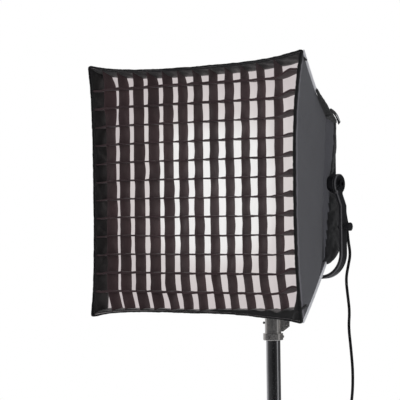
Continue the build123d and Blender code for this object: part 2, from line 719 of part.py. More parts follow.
with BuildPart() as rear_skirt:
    with BuildSketch(upright(312)):
        with Locations(P(0, 0)):
            RectangleRounded(2 * HEAD_W + 12, 2 * HEAD_W + 10, 14)
            RectangleRounded(2 * HEAD_W + 4, 2 * HEAD_W + 2, 11, mode=Mode.SUBTRACT)
    extrude(amount=-24)
    for s in (1, -1):
        with BuildSketch(Plane(origin=(s * (HEAD_W - 4), COL_Y, PIV_Z), z_dir=(s, 0, 0))):
            Circle(24)
        extrude(amount=30, mode=Mode.SUBTRACT)
put(rear_skirt, "rear_skirt")

with BuildPart() as inner_baffle:
    hb = half_at(150) - FAB - 24
    with BuildSketch(upright(150)):
        with Locations(P(0, 0)):
            Rectangle(2 * hb, 2 * hb)
    extrude(amount=-1)
put(inner_baffle, "inner_baffle")

with BuildPart() as front_diffuser:
    hd = half_at(40) - FAB - 1.5
    with BuildSketch(upright(37.5)):
        arc_frame(hd, BOW_F - 1, None, None)
    extrude(amount=-1.2)
    for sx in (1, -1):
        for sz in (1, -1):
            with BuildSketch(upright(30)):
                with Locations(P(sx * 276, sz * 276)):
                    Circle(14)
            extrude(amount=-20, mode=Mode.SUBTRACT)
put(front_diffuser, "front_diffuser")

# ================================================================= EGG CRATE GRID
with BuildPart() as grid_border:
    with BuildSketch(upright(-1)):
        arc_frame(BORDER_H, BOW_F - 1, BORDER_H - 3, BOW_F - 1)
    extrude(amount=-GRID_D)
put(grid_border, "grid_border")

INNER = BORDER_H - 3
PITCH = 2 * (INNER - 6) / CELLS
lines = [(-CELLS / 2 + k) * PITCH for k in range(1, CELLS)]


def inner_edge(u):
    """Distance from the axis to the bowed inner face of the grid border, at u along it."""
    b = BOW_F - 1
    R = (INNER ** 2 + b ** 2) / (2 * b)
    return INNER - b + R - math.sqrt(R * R - u * u)


with BuildPart() as grid_strips_vertical:
    with BuildSketch(upright(-0.5)):
        for u in lines:
            with Locations(P(u, 0)):
                Rectangle(STRIP, 2 * inner_edge(u) - 0.3)
    extrude(amount=-(GRID_D - 1))
put(grid_strips_vertical, "grid_strips_vertical")

with BuildPart() as grid_strips_horizontal:
    with BuildSketch(upright(-0.5)):
        for u in lines:
            with Locations(P(0, u)):
                Rectangle(2 * inner_edge(u) - 0.3, STRIP)
    extrude(amount=-(GRID_D - 1))
put(grid_strips_horizontal, "grid_strips_horizontal")

# ================================================================= MAINS CORD
CZ = COL_Y
routes = {
    "cord_to_clip": [(147.4, CZ + 63, AX_Z - 36), (166, CZ + 62.5, AX_Z - 37.5), (183, CZ + 56, AX_Z - 44.5), (194, CZ + 43, AX_Z - 56),
                     (199, CZ + 31, AX_Z - 71), (CLIP_X, CLIP_Y, CLIP_Z + 7)],
    "cord_hanging": [(CLIP_X, CLIP_Y, CLIP_Z - 7), (198.5, CZ + 30, AX_Z - 124), (203.5, CZ + 32, AX_Z - 158), (197, CZ + 31, AX_Z - 187),
                     (191.5, CZ + 29, AX_Z - 218), (195, CZ + 31, AX_Z - 258), (199, CZ + 32, AX_Z - 296), (196, CZ + 31, AX_Z - 332),
                     (201, CZ + 32, AX_Z - 382), (206, CZ + 32, AX_Z - 440), (204, CZ + 31, AX_Z - 500), (190, CZ + 33, AX_Z - 560),
                     (154, CZ + 37, AX_Z - 606), (106, CZ + 39, AX_Z - 639), (64, CZ + 38, AX_Z - 667),
                     (34, CZ + 36, AX_Z - 694), (18, CZ + 34.8, AX_Z - 718), (LOBE[0], LOBE[1], STRAP_Z + 11)],
    "cord_lower": [(LOBE[0], LOBE[1], STRAP_Z - 11), (LOBE[0] + 1, LOBE[1] + 3, STRAP_Z - 40), (LOBE[0] + 3, LOBE[1] + 11, STRAP_Z - 90),
                   (LOBE[0] + 1, LOBE[1] + 14, STRAP_Z - 160), (LOBE[0] + 5, LOBE[1] + 17, STRAP_Z - 245), (LOBE[0] + 2, LOBE[1] + 15, STRAP_Z - 335),
                   (LOBE[0] + 6, LOBE[1] + 18, STRAP_Z - 425), (LOBE[0] + 3, LOBE[1] + 15, STRAP_Z - 515), (LOBE[0] + 5, LOBE[1] + 16, STRAP_Z - 600),
                   (LOBE[0] + 3, LOBE[1] + 14, STRAP_Z - 680), (LOBE[0] + 6, LOBE[1] + 16, STRAP_Z - 750), (LOBE[0] + 8, LOBE[1] + 24, 68),
                   (LOBE[0] + 9, LOBE[1] + 48, 22), (LOBE[0] + 14, LOBE[1] + 88, 3.5), (LOBE[0] + 26, LOBE[1] + 122, 3.5),
                   (LOBE[0] + 31, LOBE[1] + 156, 3.5)],
}
for name, pts in routes.items():
    v = [Vector(*p) for p in pts]
    radii = []
    for a, b, c in zip(v, v[1:], v[2:]):
        t = math.radians((b - a).get_angle(c - b))
        radii.append(0.45 * min((b - a).length, (c - b).length) / math.tan(t / 2))
    print(name, "radii", [round(r) for r in radii])
    with BuildPart() as tube:
        with BuildLine() as route:
            FilletPolyline(*pts, radius=radii)
        with BuildSketch(Plane(origin=route.line @ 0, z_dir=route.line % 0)):
            Circle(CORD_D / 2)
        sweep()
    put(tube, name)
    run = sum(e.length for e in route.line.edges())
    want = math.pi * (CORD_D / 2) ** 2 * run
    print(f"   length {run:.1f}  volume / section x length {tube.part.volume / want:.5f}")

COIL = (LOBE[0] - 10.0, LOBE[1] + 162.0)
with BuildPart() as cord_coil:
    with BuildSketch(Plane.XY):
        with Locations(COIL):
            Circle(45.5)
            Circle(31.5, mode=Mode.SUBTRACT)
    extrude(amount=21)
    fillet(cord_coil.edges().filter_by(GeomType.CIRCLE), 3.0)
put(cord_coil, "cord_coil")

PLUG = (COIL[0] - 46.0 - 8.0, COIL[1] - 26.0)
with BuildPart() as cord_plug:
    with BuildSketch(Plane(origin=(PLUG[0], PLUG[1] + 24, 11), x_dir=(1, 0, 0), z_dir=(0, -1, 0))):
        Circle(4.6)
    extrude(amount=24, taper=-3)
    with BuildSketch(Plane(origin=(PLUG[0], PLUG[1], 11), x_dir=(1, 0, 0), z_dir=(0, -1, 0))):
        RectangleRounded(26, 22, 6)
    extrude(amount=34)
    fillet(cord_plug.faces().sort_by(Axis.Y)[0].edges(), 2)
    for s in (1, -1):
        with BuildSketch(Plane(origin=(PLUG[0] + s * 6.4, PLUG[1] - 30, 11), x_dir=(1, 0, 0), z_dir=(0, -1, 0))):
            Rectangle(1.6, 6.2)
        extrude(amount=21)
put(cord_plug, "cord_plug")
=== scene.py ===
import bpy, bmesh, math
from mathutils import Vector, Matrix, noise


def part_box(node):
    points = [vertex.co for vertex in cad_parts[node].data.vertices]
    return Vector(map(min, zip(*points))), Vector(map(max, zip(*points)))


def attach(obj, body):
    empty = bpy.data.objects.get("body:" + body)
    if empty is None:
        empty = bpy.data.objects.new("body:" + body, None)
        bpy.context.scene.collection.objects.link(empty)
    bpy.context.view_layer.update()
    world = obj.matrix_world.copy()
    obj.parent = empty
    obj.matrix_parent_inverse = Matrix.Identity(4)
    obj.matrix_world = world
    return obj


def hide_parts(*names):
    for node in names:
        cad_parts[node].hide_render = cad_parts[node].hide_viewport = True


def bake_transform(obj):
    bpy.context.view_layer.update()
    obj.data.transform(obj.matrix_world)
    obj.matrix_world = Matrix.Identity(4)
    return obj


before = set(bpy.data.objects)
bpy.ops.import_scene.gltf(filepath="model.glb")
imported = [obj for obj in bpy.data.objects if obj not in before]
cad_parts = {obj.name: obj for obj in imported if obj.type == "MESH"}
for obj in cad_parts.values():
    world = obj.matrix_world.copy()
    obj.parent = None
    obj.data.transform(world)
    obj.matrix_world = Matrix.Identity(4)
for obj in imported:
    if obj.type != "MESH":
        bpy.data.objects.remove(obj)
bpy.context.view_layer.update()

# ------------------------------------------------------------------ shared dimensions (metres)
COL = sum(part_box("riser_tube")[i][1] for i in (0, 1)) / 2
Y0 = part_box("front_hem")[0][1]                      # plane of the front rim
AX = (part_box("front_hem")[0][2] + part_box("front_hem")[1][2]) / 2
HF, HR, DEPTH = 0.300, 0.166, 0.318
MM = 0.001


def S(x, y, z):
    """Softbox place in the row frame; the right hand corners are drawn unevenly, as on the sewn cover."""
    k = (z / HF) ** 3 * max(0.0, x / HF) ** 2 * max(0.0, 1 - y / DEPTH)
    return Vector((x + 0.0055 * k, Y0 + y, AX + z))


def nz(x, y=0.0, z=0.0):
    return noise.noise(Vector((x, y, z)))


def smooth01(t):
    t = max(0.0, min(1.0, t))
    return t * t * (3 - 2 * t)


def lin(r, g, b):
    f = lambda c: (c / 255 / 12.92) if c <= 10 else ((c / 255 + 0.055) / 1.055) ** 2.4
    return (f(r), f(g), f(b), 1.0)


# ------------------------------------------------------------------ materials
def new_mat(name, color, rough, metal=0.0, sheen=0.0, coat=0.0, spec=0.5, sheen_rough=0.5):
    m = bpy.data.materials.new(name)
    m.use_nodes = True
    nt = m.node_tree
    b = nt.nodes["Principled BSDF"]
    b.inputs["Base Color"].default_value = color
    b.inputs["Roughness"].default_value = rough
    b.inputs["Metallic"].default_value = metal
    b.inputs["Sheen Weight"].default_value = sheen
    b.inputs["Sheen Roughness"].default_value = sheen_rough
    b.inputs["Coat Weight"].default_value = coat
    b.inputs["Specular IOR Level"].default_value = spec
    return m, nt, b


def coords(nt, scale=(1, 1, 1), rot=(0, 0, 0)):
    tc = nt.nodes.new("ShaderNodeTexCoord")
    mp = nt.nodes.new("ShaderNodeMapping")
    mp.inputs["Scale"].default_value = scale
    mp.inputs["Rotation"].default_value = rot
    nt.links.new(tc.outputs["Object"], mp.inputs["Vector"])
    return mp.outputs["Vector"]


def tex_noise(nt, vec, scale, detail=4.0, rough=0.55):
    n = nt.nodes.new("ShaderNodeTexNoise")
    n.inputs["Scale"].default_value = scale
    n.inputs["Detail"].default_value = detail
    n.inputs["Roughness"].default_value = rough
    nt.links.new(vec, n.inputs["Vector"])
    return n.outputs["Fac"]


def tex_wave(nt, vec, scale, direction="X", distortion=0.0, dscale=1.0):
    w = nt.nodes.new("ShaderNodeTexWave")
    w.wave_type, w.bands_direction = "BANDS", direction
    w.inputs["Scale"].default_value = scale
    w.inputs["Distortion"].default_value = distortion
    w.inputs["Detail"].default_value = 1.0
    w.inputs["Detail Scale"].default_value = dscale
    nt.links.new(vec, w.inputs["Vector"])
    return w.outputs["Fac"]


def math_node(nt, op, a, b=None, c=None, clamp=False):
    n = nt.nodes.new("ShaderNodeMath")
    n.operation, n.use_clamp = op, clamp
    for i, v in enumerate((a, b, c)):
        if v is None:
            continue
        if isinstance(v, (int, float)):
            n.inputs[i].default_value = v
        else:
            nt.links.new(v, n.inputs[i])
    return n.outputs[0]


def ramp(nt, fac, stops, mode="EASE"):
    r = nt.nodes.new("ShaderNodeValToRGB")
    r.color_ramp.interpolation = mode
    while len(r.color_ramp.elements) < len(stops):
        r.color_ramp.elements.new(0.5)
    for e, (p, c) in zip(r.color_ramp.elements, stops):
        e.position, e.color = p, c
    nt.links.new(fac, r.inputs["Fac"])
    return r.outputs["Color"]


def map_range(nt, fac, a, b, lo, hi):
    n = nt.nodes.new("ShaderNodeMapRange")
    n.inputs["From Min"].default_value, n.inputs["From Max"].default_value = a, b
    n.inputs["To Min"].default_value, n.inputs["To Max"].default_value = lo, hi
    nt.links.new(fac, n.inputs["Value"])
    return n.outputs["Result"]


def bump(nt, bsdf, height, strength, dist=0.001, prev=None):
    b = nt.nodes.new("ShaderNodeBump")
    b.inputs["Strength"].default_value = strength
    b.inputs["Distance"].default_value = dist
    nt.links.new(height, b.inputs["Height"])
    if prev is not None:
        nt.links.new(prev, b.inputs["Normal"])
    nt.links.new(b.outputs["Normal"], bsdf.inputs["Normal"])
    return b.outputs["Normal"]


def scaled(c, k):
    return (c[0] * k, c[1] * k, c[2] * k, 1.0)


def fabric(name, color, rough=0.75, sheen=0.25, thread=0.0009, var=0.18, crease=0.35, light=None, wear=0.0):
    """Woven cloth: two crossed thread directions, soft creases, uneven dye and a little lint."""
    m, nt, b = new_mat(name, color, rough, sheen=sheen)
    v = coords(nt)
    k = 1.0 / thread / 3.3
    wx, wy, wz = (tex_wave(nt, v, k, d, 0.6, 2.0) for d in "XYZ")
    weave = math_node(nt, "MULTIPLY", math_node(nt, "MAXIMUM", wx, wy), wz)
    big = tex_noise(nt, v, 9.0, 5.0)
    fine = tex_noise(nt, v, 420.0, 3.0, 0.7)
    mix = math_node(nt, "ADD", math_node(nt, "MULTIPLY", big, 0.6), math_node(nt, "MULTIPLY", fine, 0.25))
    mix = math_node(nt, "ADD", mix, math_node(nt, "MULTIPLY", weave, 0.15), clamp=True)
    col = ramp(nt, mix, [(0.30, scaled(color, 1 - var)), (0.50, color), (0.72, light or scaled(color, 1 + 1.6 * var))])
    nt.links.new(col, b.inputs["Base Color"])
    nt.links.new(map_range(nt, fine, 0.3, 0.7, rough - 0.08, min(1.0, rough + 0.1)), b.inputs["Roughness"])
    n1 = bump(nt, b, tex_noise(nt, v, 34.0, 6.0, 0.6), crease, 0.0035)
    bump(nt, b, weave, 0.35, 0.00035, n1)
    return m


def moulded(name, color, rough=0.5, grain=900.0, strength=0.22, spec=0.5, coat=0.0, var=0.15):
    """Moulded plastic, rubber or powder coat: fine grain, faint smudges and worn patches."""
    m, nt, b = new_mat(name, color, rough, coat=coat, spec=spec)
    v = coords(nt)
    g = tex_noise(nt, v, grain, 3.0, 0.6)
    big = tex_noise(nt, v, 22.0, 6.0, 0.6)
    col = ramp(nt, big, [(0.32, scaled(color, 1 - var)), (0.55, color), (0.74, scaled(color, 1 + 1.5 * var))])
    nt.links.new(col, b.inputs["Base Color"])
    nt.links.new(map_range(nt, big, 0.3, 0.7, max(0.05, rough - 0.1), min(1.0, rough + 0.12)), b.inputs["Roughness"])
    bump(nt, b, g, strength, 0.0004)
    return m


def metal(name, color, rough=0.12, scratch=0.15, direction="Z", var=0.06, cast=False):
    m, nt, b = new_mat(name, color, rough, metal=1.0)
    stretch = {"Z": (90, 90, 2.5), "X": (2.5, 90, 90), "Y": (90, 2.5, 90)}[direction]
    v = coords(nt, stretch)
    s = tex_noise(nt, v, 4.0, 6.0, 0.65)
    v2 = coords(nt)
    big = tex_noise(nt, v2, 14.0, 5.0, 0.6)
    fine = tex_noise(nt, v2, 700.0 if cast else 1500.0, 3.0)
    col = ramp(nt, big, [(0.3, scaled(color, 1 - 2 * var)), (0.55, color), (0.75, scaled(color, 1 + var))])
    nt.links.new(col, b.inputs["Base Color"])
    nt.links.new(math_node(nt, "ADD", map_range(nt, s, 0.35, 0.7, rough, rough + scratch), map_range(nt, big, 0.3, 0.7, 0.0, 0.05)), b.inputs["Roughness"])
    bump(nt, b, fine if cast else s, 0.25 if cast else 0.05, 0.0004)
    return m


C_FLANK = lin(77, 77, 82)
M = {}
M["flank"] = fabric("flank_cloth", C_FLANK, 0.62, 0.12, 0.0008, 0.10, 0.20)
M["band"] = fabric("hem_band_cloth", lin(104, 101, 109), 0.55, 0.15, 0.0008, 0.10, 0.25)
M["rim"] = fabric("rim_binding", lin(16, 16, 17), 0.72, 0.10, 0.0011, 0.30, 0.55)
M["border"] = fabric("border_cloth", lin(29, 28, 28), 0.60, 0.15, 0.0010, 0.30, 0.65)
M["grid"] = fabric("grid_cloth", lin(60, 45, 47), 0.85, 0.10, 0.0012, 0.42, 0.45)
M["piping"] = fabric("ridge_piping", lin(226, 226, 229), 0.55, 0.2, 0.0012, 0.10, 0.25)
M["skirt"] = fabric("skirt_cloth", lin(18, 18, 20), 0.70, 0.2, 0.0012, 0.35, 0.7)
M["strap"] = fabric("strap_webbing", lin(12, 12, 12), 0.8, 0.2, 0.0018, 0.3, 0.4)
M["paint"] = moulded("yoke_paint", lin(34, 34, 36), 0.36, 1100.0, 0.25, 0.5)
M["head"] = moulded("head_coat", lin(30, 30, 33), 0.48, 900.0, 0.30, 0.5)
M["plastic"] = moulded("black_plastic", lin(30, 30, 31), 0.45, 1300.0, 0.25, 0.5)
M["knob"] = moulded("knob_plastic", lin(34, 34, 36), 0.38, 1500.0, 0.18, 0.5)
M["rubber"] = moulded("boot_rubber", lin(26, 26, 26), 0.72, 800.0, 0.4, 0.35)
M["cord"] = moulded("cord_jacket", lin(20, 20, 21), 0.50, 700.0, 0.25, 0.4)
M["button"] = moulded("button_grey", lin(150, 150, 152), 0.5, 1500.0, 0.15)
M["rocker"] = moulded("rocker_plastic", lin(140, 26, 22), 0.32, 1500.0, 0.1, coat=0.3)
M["chrome"] = metal("tube_chrome", (0.80, 0.80, 0.82, 1), 0.07, 0.06)
M["cast"] = metal("cast_chrome", (0.86, 0.83, 0.79, 1), 0.15, 0.10, cast=True)
M["cast"].node_tree.nodes["Principled BSDF"].inputs["Metallic"].default_value = 0.86
M["satin"] = metal("satin_casting", (0.66, 0.63, 0.59, 1), 0.42, 0.12, cast=True)
M["satin"].node_tree.nodes["Principled BSDF"].inputs["Metallic"].default_value = 0.55
M["wire"] = metal("tab_wire", (0.82, 0.82, 0.82, 1), 0.45, 0.10)
M["wire"].node_tree.nodes["Principled BSDF"].inputs["Metallic"].default_value = 0.35
# lighter grey for the yoke's bevel faces: a painted highlight along the edges
M["edge"] = moulded("yoke_painted_edge_highlight", lin(88, 87, 89), 0.40, 1100.0, 0.15, 0.5)
M["screw"] = metal("zinc_screw", (0.42, 0.41, 0.40, 1), 0.4, 0.12)
M["bolt"] = metal("black_oxide", (0.10, 0.10, 0.11, 1), 0.35, 0.15)
M["fins"] = metal("fin_alloy", (0.12, 0.12, 0.13, 1), 0.4, 0.15)
M["rod"] = metal("rod_steel", (0.6, 0.6, 0.62, 1), 0.25, 0.15)
M["nylon"] = moulded("nylon", lin(205, 203, 195), 0.5, 900.0, 0.15)


def display_mat():
    m, nt, b = new_mat("display_glass", (0.006, 0.008, 0.010, 1), 0.08, coat=0.6)
    v = coords(nt)
    w = tex_wave(nt, v, 45.0, "Z")
    c = ramp(nt, w, [(0.80, (0.0, 0.0, 0.0, 1)), (0.92, (0.10, 0.30, 0.34, 1))])
    nt.links.new(c, b.inputs["Emission Color"])
    b.inputs["Emission Strength"].default_value = 0.5
    nt.links.new(map_range(nt, tex_noise(nt, v, 60.0, 4.0), 0.3, 0.7, 0.05, 0.14), b.inputs["Roughness"])
    return m


M["display"] = display_mat()


def diffuser_mat():
    """Glowing cloth: hot towards the middle, falling off to a faint pink grey, with weave and soft creases."""
    m, nt, b = new_mat("diffusion_cloth", lin(150, 145, 145), 0.9, sheen=0.2)
    v = coords(nt)
    sep = nt.nodes.new("ShaderNodeSeparateXYZ")
    nt.links.new(v, sep.inputs[0])
    dx = math_node(nt, "DIVIDE", math_node(nt, "SUBTRACT", sep.outputs["X"], 0.030), 0.215)
    dz = math_node(nt, "DIVIDE", math_node(nt, "SUBTRACT", sep.outputs["Z"], AX - 0.004), 0.200)
    r4 = math_node(nt, "ADD", math_node(nt, "POWER", math_node(nt, "ABSOLUTE", dx), 3.0), math_node(nt, "POWER", math_node(nt, "ABSOLUTE", dz), 3.0))
    r = math_node(nt, "POWER", r4, 0.3333)
    wob = math_node(nt, "MULTIPLY", math_node(nt, "SUBTRACT", tex_noise(nt, v, 11.0, 3.0), 0.5), 0.22)
    r = math_node(nt, "ADD", r, wob)
    c = ramp(nt, math_node(nt, "DIVIDE", r, 2.0, clamp=True), [
        (0.0, (0.96, 0.955, 0.95, 1)), (0.30, (0.92, 0.91, 0.90, 1)), (0.48, (0.70, 0.65, 0.645, 1)), (0.72, (0.60, 0.545, 0.55, 1)), (1.0, (0.50, 0.45, 0.46, 1))])
    cr = tex_noise(nt, coords(nt, (1, 1, 0.25)), 60.0, 5.0, 0.6)
    fine = tex_noise(nt, v, 900.0, 2.0)
    shade = math_node(nt, "ADD", map_range(nt, cr, 0.3, 0.7, 0.97, 1.03), map_range(nt, fine, 0.3, 0.7, -0.02, 0.02))
    mx = nt.nodes.new("ShaderNodeVectorMath")
    mx.operation = "SCALE"
    nt.links.new(c, mx.inputs[0])
    nt.links.new(shade, mx.inputs["Scale"])
    nt.links.new(mx.outputs[0], b.inputs["Emission Color"])
    lp_ = nt.nodes.new("ShaderNodeLightPath")
    nt.links.new(map_range(nt, lp_.outputs["Is Camera Ray"], 0.0, 1.0, 1.7, 0.92), b.inputs["Emission Strength"])
    b.inputs["Base Color"].default_value = (0.05, 0.05, 0.05, 1)
    bump(nt, b, cr, 0.2, 0.002)
    return m


M["diffuser"] = diffuser_mat()

# ------------------------------------------------------------------ CAD nodes that show as they are
LOOK = {
    "chrome": ["base_column", "leg_front", "leg_left", "leg_right", "riser_tube"],
    "cast": ["hub_keepers", "column_collar", "receiver_casting", "yoke_spigot"],
    "satin": ["receiver_tee"],
    "rubber": ["foot_front", "foot_left", "foot_right", "cord_gland"],
    "knob": ["collar_knob", "tilt_lock_knob", "clip_thumbscrew", "dial_left", "dial_right"],
    "plastic": ["cord_clip", "control_box", "cord_plug", "rod_ends"],
    "nylon": ["riser_bushing"],
    "screw": ["receiver_screws", "spigot_bolt"],
    "bolt": ["pivot_bolts"],
    "strap": ["cord_strap"],
    "paint": ["yoke_frame", "rear_handle"],
    "head": ["head_housing", "pivot_hubs", "rear_cover"],
    "fins": ["heat_sink", "head_bezel", "mounting_frame"],
    "rod": ["support_rods"],
    "display": ["display_window"],
    "button": ["button_left", "button_right"],
    "rocker": ["power_rocker"],
    "diffuser": ["opal_panel", "led_board", "led_emitters", "inner_baffle", "front_diffuser"],
    "flank": ["shell_top", "shell_left", "shell_bottom", "shell_right"],
    "rim": ["front_hem"], "piping": ["ridge_tapes"], "skirt": ["rear_skirt"],
    "border": ["grid_border"], "grid": ["grid_strips_vertical", "grid_strips_horizontal"],
    "cord": ["cord_to_clip", "cord_hanging", "cord_lower", "cord_coil"],
}
for key, names in LOOK.items():
    for n in names:
        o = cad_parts[n]
        o.data.materials.clear()
        o.data.materials.append(M[key])
        for p in o.data.polygons:
            p.use_smooth = True
        o.data.set_sharp_from_angle(angle=math.radians(28))


def plain_mat(name, base, emit=None, strength=0.0):
    m, nt, b = new_mat(name, base, 0.6)
    v = coords(nt)
    n = tex_noise(nt, v, 120.0, 4.0)
    nt.links.new(ramp(nt, n, [(0.3, scaled(base, 0.94)), (0.7, scaled(base, 1.04))]), b.inputs["Base Color"])
    return m


M["board"] = plain_mat("led_board_mask", (0.75, 0.75, 0.73, 1))
M["led"] = plain_mat("led_phosphor", (0.80, 0.62, 0.18, 1))
M["opal"] = plain_mat("opal_sheet", (0.80, 0.79, 0.78, 1))
for key, n in (("board", "led_board"), ("led", "led_emitters"), ("opal", "opal_panel"), ("opal", "inner_baffle")):
    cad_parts[n].data.materials[0] = M[key]


# ------------------------------------------------------------------ mesh helpers
def mesh_object(name, verts, faces, mats, smooth=True, face_mats=None):
    me = bpy.data.meshes.new(name)
    me.from_pydata([tuple(v) for v in verts], [], faces)
    for m in (mats if isinstance(mats, (list, tuple)) else [mats]):
        me.materials.append(m)
    if face_mats:
        me.polygons.foreach_set("material_index", face_mats)
    me.update()
    bm = bmesh.new()
    bm.from_mesh(me)
    bmesh.ops.remove_doubles(bm, verts=bm.verts, dist=1e-6)
    bmesh.ops.recalc_face_normals(bm, faces=bm.faces)
    bm.to_mesh(me)
    bm.free()
    for p in me.polygons:
        p.use_smooth = smooth
    o = bpy.data.objects.new(name, me)
    bpy.context.scene.collection.objects.link(o)
    return o


def grid_faces(nu, nv, wrap_u=False, wrap_v=False, base=0):
    """Faces of a grid whose vertex index is base + u * nv + v."""
    out = []
    for u in range(nu if wrap_u else nu - 1):
        for v in range(nv if wrap_v else nv - 1):
            a, b = u, (u + 1) % nu
            c, d = v, (v + 1) % nv
            out.append((base + a * nv + c, base + b * nv + c, base + b * nv + d, base + a * nv + d))
    return out


def thicken(o, t, offset=-1.0):
    m = o.modifiers.new("thickness", "SOLIDIFY")
    m.thickness, m.offset, m.use_even_offset = t, offset, True
    apply_mods(o)
    return o


def apply_mods(o):
    dg = bpy.context.evaluated_depsgraph_get()
    me = bpy.data.meshes.new_from_object(o.evaluated_get(dg))
    old = o.data
    o.modifiers.clear()
    o.data = me
    bpy.data.meshes.remove(old)


def sharpen(o, deg=35):
    for p in o.data.polygons:
        p.use_smooth = True
    o.data.set_sharp_from_angle(angle=math.radians(deg))


# ------------------------------------------------------------------ the rim's outline
# each edge is pulled in between the corner rods: depth of the pull and how square it is
BOWS = {0: (0.0190, 3.0), 1: (0.0180, 2.8), 2: (0.0155, 4.2), 3: (0.0100, 2.8)}    # top, right, bottom, left


def pull(side, t, scale=1.0):
    a, p = BOWS[side]
    d = a * (1 - abs(2 * t - 1) ** p)
    if side == 0:
        d += 0.0009 * nz(t * 9, 3.1) * math.sin(math.pi * t)
    if side == 2:
        d += 0.0012 * nz(t * 7, 8.4) * math.sin(math.pi * t) - 0.0035 * math.exp(-((t - 0.16) / 0.12) ** 2)
    if side in (1, 3):
        d += 0.0008 * nz(t * 8, 5.5 + side) * math.sin(math.pi * t)
    return d * scale


def side_point(side, t, h, scale=1.0):
    """(x, z) on one edge of a square of half size h, clockwise from the top left as seen from the front."""
    d = pull(side, t, scale)
    if side == 0:
        return (-h + 2 * h * t, h - d)
    if side == 1:
        return (h - d, h - 2 * h * t)
    if side == 2:
        return (h - 2 * h * t, -h + d)
    return (-h + d, -h + 2 * h * t)


def outline(h, r, n, scale=1.0, nc=8):
    """Closed outline with rounded corners; returns points, outward normals and running length."""
    pts = []
    tc = r / (2 * h)
    for side in range(4):
        for i in range(n + 1):
            pts.append(side_point(side, tc + (1 - 2 * tc) * i / n, h, scale))
        a = side_point(side, 1 - tc, h, scale)
        b = side_point((side + 1) % 4, tc, h, scale)
        c = side_point(side, 1.0, h, scale)
        for i in range(1, nc):
            t = i / nc
            pts.append(tuple((1 - t) ** 2 * a[k] + 2 * t * (1 - t) * c[k] + t * t * b[k] for k in (0, 1)))
    N = len(pts)
    nor, run, s = [], [], 0.0
    for i in range(N):
        p, q = pts[i - 1], pts[(i + 1) % N]
        tx, tz = q[0] - p[0], q[1] - p[1]
        l = math.hypot(tx, tz) or 1.0
        nor.append((-tz / l, tx / l))
        run.append(s)
        s += math.hypot(pts[(i + 1) % N][0] - pts[i][0], pts[(i + 1) % N][1] - pts[i][1])
    # clockwise from the front: the outward normal is to the left of travel
    return pts, nor, run


# ------------------------------------------------------------------ front rim binding
def make_rim():
    pts, nor, run = outline(HF - 0.0008, 0.0062, 190)
    prof = [(-0.0026, 0.0052), (-0.0030, 0.0030), (-0.0031, 0.0006), (-0.0029, -0.0014), (-0.0022, -0.0025), (-0.0012, -0.0029),
            (-0.0002, -0.0025), (0.0005, -0.0012), (0.0008, 0.0008), (0.0008, 0.0030), (0.0005, 0.0048), (-0.0006, 0.0058)]
    verts, nv = [], len(prof)
    for (x, z), (nx, nzz), s in zip(pts, nor, run):
        corner = math.exp(-((HF - max(0, min(abs(x), abs(z)))) / 0.030) ** 2)
        for k, (n, y) in enumerate(prof):
            puck = 0.0007 * nz(s * 120, k * 0.35) + 0.0008 * nz(s * 45 + y * 130, 4.0 + k * 0.2)
            outer = 1.0 if n > -0.0010 else 0.15
            dn = outer * (puck + corner * (0.0012 * nz(s * 90 + n * 160, 9.0) + 0.0012))
            dy = (0.0006 * nz(s * 85 + n * 240, 2.0 + n * 60) + corner * 0.0012 * nz(s * 60, n * 130 + 5)) * (1.0 if y < 0.002 else 0.3)
            dy -= corner * 0.0016 * (1.0 if y < 0.0005 else 0.0)
            verts.append(S(x + nx * (n + dn), y + dy, z + nzz * (n + dn)))
    o = mesh_object("front_rim", verts, grid_faces(len(pts), nv, True, True), M["rim"])
    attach(o, "head"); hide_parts("front_hem")
    return o


rim = make_rim()


# ------------------------------------------------------------------ shell panels
def shell_half(y):
    return HF + (HR - HF) * y / DEPTH


def bow_share(side, y):
    """How much of the rim's bow is left at depth y: the bottom panel straightens soon behind the rim."""
    f = max(0.0, min(1.0, y / DEPTH))
    if side == 2:
        return 0.06 + 0.94 * max(0.0, 1 - y / 0.045) ** 1.2
    return (1 - f) ** 1.25 + 0.06


